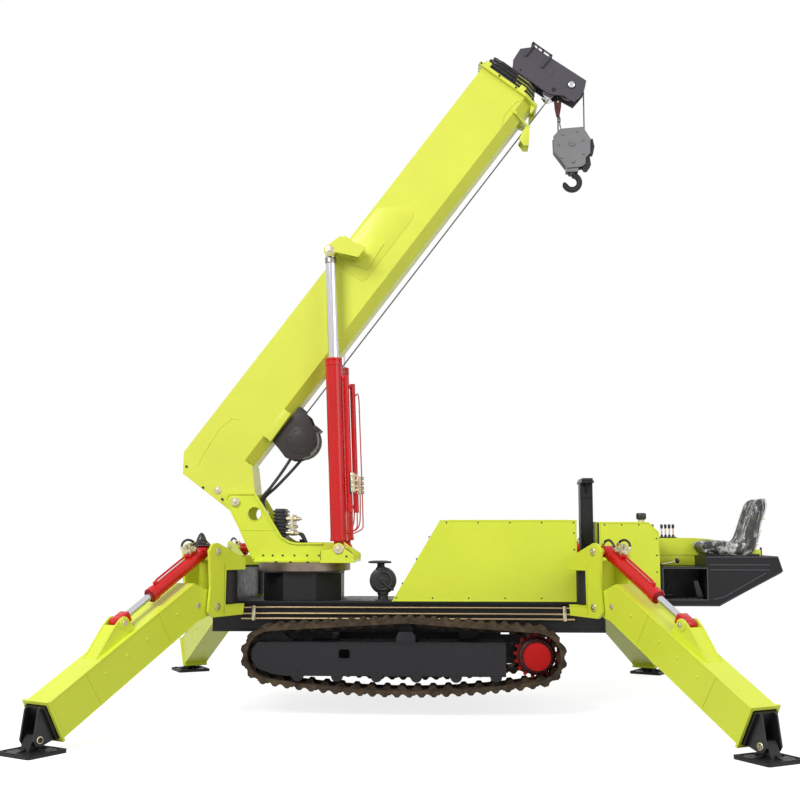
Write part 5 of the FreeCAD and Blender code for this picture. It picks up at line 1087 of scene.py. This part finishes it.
def outrigger_details(name, plane):
    """Ring bosses, bolts, weld lines, cylinder fittings, hoses and the pad's ribs of one leg."""
    leg = plane @ turn_at((LEG_PIVOT[0], 0, LEG_PIVOT[1]), "Y", LEG_SLOPE)
    lift = plane @ turn_at((LIFT_HEAD[0], 0, LIFT_HEAD[1]), "Y", LIFT_TURN)
    bracket, box_face = 0.1625, 0.125

    def fit(part, key, body, *forms, at=plane):
        piece(name + "_" + part, key, name + "_" + body, *forms, at=at)

    fit("bracket_pins", "zinc", "bracket", both(lambda side: [
        (cap(spot, bracket, side, [(-0.001, 0.036), (0.008, 0.036), (0.011, 0.033), (0.0125, 0.022),
                                  (0.0125, 0)], 28),
         bared([spot], 0.1745, side, 0.011)) for spot in (LEG_PIVOT, LIFT_HEAD)]))
    fit("bracket_rims", "lime", "bracket", both(lambda side: [
        rib([(-0.085, 1.284), (0.175, 1.284), (0.182, 0.973), (-0.075, 0.973)], 0.006, side, bracket, 0.003),
        side_box(side, (0.186, 0.1375, 0.90), (0.196, 0.1625, 1.33), 0.001)]),
        turned((0, 0, 1.3655), Z, [(0, 0.075), (0.01, 0.075), (0.013, 0.07), (0.013, 0.0)], 32))
    fit("kingpin_bolt", "zinc", "bracket", bolt((0, 0, 1.378), Z, 0.02))
    if name == "front_left":
        fit("hose_cap", "knob", "bracket", box((0.235, -0.138, 1.4955), (0.335, 0.138, 1.502), 0.001),
            turned((0.285, -0.03, 1.5015), Z, [(0, 0.050), (0.012, 0.052), (0.03, 0.047), (0.06, 0.037),
                                               (0.085, 0.025), (0.10, 0.012), (0.104, 0)], 28))
    fit("leg_welds", "lime", "leg", both(lambda side: [
        [rib([(high, 0.288), (low, 0.010)], 0.006, side, box_face, 0.003)
         for high, low in ((0.604, 0.585), (1.460, 1.436))],
        rib([(0.16, 0.294), (1.845, 0.294)], 0.007, side, box_face, 0.003),
        rib([(0.23, -0.006), (1.845, -0.006)], 0.007, side, box_face, 0.003),
        studs([(0.42, 0.175), (0.80, 0.175), (1.04, 0.180), (1.29, 0.180)], box_face, side, 0.014, dome),
        cap(EYE_SPOT, 0.074, side, [(-0.002, 0.050), (0.005, 0.050), (0.007, 0.046), (0.007, 0.0)]),
        strip([(0.996, side * 0.058), (1.286, side * 0.058)], 0.006, 0.297, 0.305, plane="XY")]), at=leg)
    fit("leg_bolts", "zinc", "leg", both(lambda side: [
        studs([(0.170, 0.110)], box_face, side, 0.017), studs([EYE_SPOT], 0.0805, side, 0.017)]), at=leg)
    fit("lift_pipe", "red", "lift_barrel",
        turned((0.676, 0, 0), X, [(0, 0.0575), (0.003, 0.0625), (0.060, 0.0625), (0.064, 0.058),
                                  (0.064, 0.0305)], 36),
        turned((0.055, 0, 0), X, [(0, 0.0575), (0.004, 0.0605), (0.03, 0.0605), (0.034, 0.0575)], 36),
        box((0.10, -0.030, 0.052), (0.215, 0.030, 0.084), 0.005),
        bent([(0.21, 0.0, 0.072), (0.24, 0.0, 0.080), (0.30, 0, 0.080), (0.57, 0, 0.080), (0.62, 0, 0.077),
              (0.64, 0, 0.068), (0.642, 0, 0.058)], 0.0095),
        turned((0.64, 0, 0.054), Z, [(0, 0.020), (0.02, 0.020), (0.024, 0.014), (0.03, 0.0)], 16), at=lift)
    plug = [(0, 0.012), (0.010, 0.012), (0.012, 0.009), (0.018, 0.009), (0.020, 0.013), (0.030, 0.013),
            (0.032, 0.0)]
    port = [(0, 0.013), (0.012, 0.013), (0.014, 0.009), (0.026, 0.009), (0.028, 0.013), (0.034, 0.013),
            (0.034, 0)]
    fit("lift_valve", "zinc", "lift_barrel", box((0.125, -0.036, 0.080), (0.205, 0.036, 0.125), 0.005),
        [turned((x, y, 0.124), Z, plug, count) for x, y, count in
         ((0.140, 0.0, 14), (0.165, -0.02, 6), (0.165, 0.02, 14), (0.192, 0.0, 6))],
        both(lambda side: cap((0.165, 0.103), 0.035, side, port, 6)), at=lift)
    for k, side in enumerate((-1, 1)):
        hose("%s_lift_hose_%d" % (name, k), [
            (x, side * y, z) for x, y, z in
            ((0.165, 0.062, 0.103), (0.158, 0.080, 0.125), (0.120, 0.088, 0.150), (0.065, 0.085, 0.148),
             (0.020, 0.080, 0.112), (-0.004, 0.078, 0.060))], 0.0105, name + "_lift_barrel", lift)
    fit("rod_eye", "red", "lift_rod",
        box((LIFT_LENGTH - 0.105, -0.050, -0.043), (LIFT_LENGTH - 0.018, 0.050, 0.043), 0.008),
        turned((LIFT_LENGTH, -0.0515, 0), Y, [(0, 0.030), (0, 0.0455), (0.003, 0.0475), (0.10, 0.0475),
                                              (0.103, 0.0455), (0.103, 0.03)], 36), at=lift)
    foot_x = on_plane(FOOT_SPOT)[0]
    fit("pad_ribs", "black", "pad", both(lambda side: [
        plate([(foot_x + side * 0.05, 0.0245), (foot_x + side * 0.150, 0.0245),
               (foot_x + side * 0.060, 0.052)], -0.012, 0.012, bevel=0.002),
        plate([(side * 0.064, 0.0245), (side * 0.150, 0.0245), (side * 0.064, 0.052)],
              foot_x - 0.012, foot_x + 0.012, "YZ", 0.002)]),
        strip([(foot_x + x, y) for x, y in
               ((-0.168, -0.168), (0.168, -0.168), (0.168, 0.168), (-0.168, 0.168))],
              0.012, 0.0245, 0.030, True, "XY"))
    fit("pad_bolts", "bolt", "pad", [bolt((foot_x + x, y, 0.025), Z) for x in (-0.135, 0.135)
                                     for y in (-0.135, 0.135)])
    fit("foot_pin", "zinc", "inner_leg", both(lambda side: cap(
        FOOT_SPOT, 0.0805, side, [(0, 0.030), (0.005, 0.030), (0.008, 0.026), (0.008, 0.018),
                                  (0.0115, 0.018), (0.0115, 0)], 24)), at=leg)


# Seat

SEAT_MIDDLE, SEAT_HALF, SEAT_FLOOR = -0.190, 0.225, 1.3932
SEAT_LINE = [(2.672, 1.440), (2.700, 1.490), (2.800, 1.508), (2.920, 1.500), (3.010, 1.500),
             (3.062, 1.545), (3.105, 1.640), (3.150, 1.760), (3.196, 1.880), (3.222, 1.932)]


def crumple(point, seed):
    """How far a spot of the film stands out of its smooth shell, in shares of its crease."""
    at = (point + X * SHIFT) * 17 + Vector((seed, seed * 2, 0))
    ridge = 1 - abs(noise.noise(Vector((at.x * 0.7, at.y * 0.45, at.z * 0.7)) * 1.6)) * 2
    return noise.fractal(at, 0.6, 2.2, 5) * 0.8 + ridge ** 3 * 0.5


@shape
def seat_shell(mesh, swell, steps=64, across=40, crease=0.0, seed=0.0):
    """The bucket seat's closed shell, grown outward by swell, with creases pressed into it."""
    line = smooth_points([(x, 0, z) for x, z in SEAT_LINE], 10)
    fronts, backs = [], []
    for k in range(steps + 1):
        share = k / steps
        place = share * (len(line) - 1)
        low = min(int(place), len(line) - 2)
        spot = line[low].lerp(line[low + 1], place - low)
        way = (line[low + 1] - line[low]).normalized()
        normal = Vector((-way.z, 0, way.x))
        thick = 0.100 + 0.050 * max(0.0, 1 - abs(share - 0.5) * 4)
        taper = min(1.0, (share * 9) ** 0.5, ((1 - share) * 7) ** 0.5)
        narrow = 1 - 0.10 * max(0.0, (share - 0.6) / 0.4) ** 2
        wide = SEAT_HALF * narrow * (0.86 + 0.14 * taper)
        fronts.append([])
        backs.append([])
        for j in range(across + 1):
            u = j / across * 2 - 1
            y = SEAT_MIDDLE + u * wide * (1 - 0.04 * (1 - abs(u))) + u * swell * 1.4
            bolster = 0.050 * abs(u) ** 3.5 - 0.006 * (1 - u * u)
            channel = -0.006 * math.exp(-((abs(u) - 0.56) / 0.03) ** 2)
            if abs(u) < 0.56:
                channel -= 0.005 * sum(math.exp(-((share - seam) / 0.008) ** 2) for seam in (0.27, 0.78))
            half = thick / 2 * taper * max((1 - abs(u) ** 8) ** 0.5, 0.12)
            middle = spot + normal * (bolster * taper - thick / 2)
            for sign, rise, row in ((1, half + channel + swell, fronts[-1]), (-1, half + swell, backs[-1])):
                point = middle + normal * sign * rise
                point.y = y
                if crease:
                    point += normal * sign * crease * crumple(point, seed)
                point.z = max(point.z, SEAT_FLOOR)
                row.append(mesh.verts.new(point))
    skin(mesh, fronts, closed=False)
    skin(mesh, backs, closed=False)
    skin(mesh, [fronts[0], backs[0]], closed=False)
    skin(mesh, [fronts[-1], backs[-1]], closed=False)
    for j in (0, across):
        skin(mesh, [[row[j] for row in fronts], [row[j] for row in backs]], closed=False)


def seat_pieces():
    """The vinyl seat, its fixing studs and rails, and the clear film it came in."""
    cushion = piece("seat_cushion", "vinyl", "chassis", seat_shell(0.0), smooth=180)
    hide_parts("seat")
    piece("seat_film", "film", "chassis", seat_shell(0.007, 110, 60, 0.009, 3.1), smooth=180)
    piece("seat_studs", "zinc", "chassis",
          studs([(3.232, 1.73), (3.198, 1.62), (3.05, 1.50), (3.17, 1.50)],
                SEAT_HALF - SEAT_MIDDLE + 0.004, -1, 0.012, dome))
    piece("seat_rails", "cast", "chassis",
          plate([(2.72, 1.3925), (3.20, 1.3925), (3.20, 1.412), (2.72, 1.412)],
                SEAT_MIDDLE - 0.17, SEAT_MIDDLE + 0.17, bevel=0.003))


# The camera, the floor and the light

def put(name, data, at=(0, 0, 0), turn=(0, 0, 0)):
    """An object linked into the scene."""
    item = bpy.data.objects.new(name, data)
    bpy.context.scene.collection.objects.link(item)
    item.location = at
    item.rotation_euler = turn
    return item


def seen(tree):
    """1 for what the camera, a glossy or a clear surface looks at, else 0."""
    paths = tree.nodes.new("ShaderNodeLightPath").outputs
    found = paths["Is Camera Ray"]
    for kind in ("Is Glossy Ray", "Is Transmission Ray"):
        node = tree.nodes.new("ShaderNodeMath")
        node.operation = "MAXIMUM"
        tree.links.new(found, node.inputs[0])
        tree.links.new(paths[kind], node.inputs[1])
        found = node.outputs[0]
    return found


def stage():
    """The pale floor, the white surround and the soft lamps."""
    data = bpy.data.meshes.new("floor")
    reach = 60
    data.from_pydata([(-reach, -reach, 0), (reach, -reach, 0), (reach, reach, 0), (-reach, reach, 0)], [],
                     [(0, 1, 2, 3)])
    n = Nodes("Floor")
    diffuse = n.add("ShaderNodeBsdfDiffuse", {"Color": (0.42, 0.42, 0.42, 1)})
    glow = n.add("ShaderNodeEmission")
    n.link(n.times(seen(n.tree), 0.80), glow.inputs["Strength"])
    both_shaders = n.add("ShaderNodeAddShader")
    n.link(diffuse.outputs[0], both_shaders.inputs[0])
    n.link(glow.outputs[0], both_shaders.inputs[1])
    n.link(both_shaders.outputs[0], n.tree.nodes["Material Output"].inputs["Surface"])
    data.materials.append(n.material)
    put("floor", data)

    world = bpy.data.worlds.new("Surround")
    bpy.context.scene.world = world
    world.use_nodes = True
    tree = world.node_tree
    background = tree.nodes["Background"]
    background.inputs["Color"].default_value = (1, 1, 1, 1)
    level = tree.nodes.new("ShaderNodeMapRange")
    level.inputs["To Min"].default_value = 0.55
    level.inputs["To Max"].default_value = 1.0
    tree.links.new(seen(tree), level.inputs["Value"])
    tree.links.new(level.outputs["Result"], background.inputs["Strength"])

    for name, at, size, power in (("key", (-7, -11, 11), 7, 1500), ("fill", (9, -8, 6), 8, 400)):
        data = bpy.data.lights.new(name, "AREA")
        data.shape = "DISK"
        data.size = size
        data.energy = power
        put(name, data, at, (Z * 2 - Vector(at)).to_track_quat("-Z", "Y").to_euler())


def camera():
    """The camera at the photograph's place, looking along +Y, a little up and to the left."""
    data = bpy.data.cameras.new("camera")
    data.lens = 52.2
    data.sensor_width = 36
    data.clip_end = 200
    bpy.context.scene.camera = put("camera", data, (SHIFT + 0.45, -11.13, 1.627),
                                   (math.radians(90 + 6.4), 0, math.radians(2.76)))


camera()
stage()
deck_details()
track_wheels()
track_tread()
housings()
rest_post()
levers()
step_box_trim()
deck_parts()
turret_details()
valve_details()
boom_details()
collar_details()
head_details()
block_details()
hoist_rope()
winch_details()
winch_hoses()
luff_details()
for corner, end, side, turn in CORNERS:
    outrigger_details(corner, turn_at((SHIFT + end * HINGE[0], side * HINGE[1], 0), "Z", turn))
seat_pieces()

bpy.context.scene.view_settings.view_transform = "Standard"
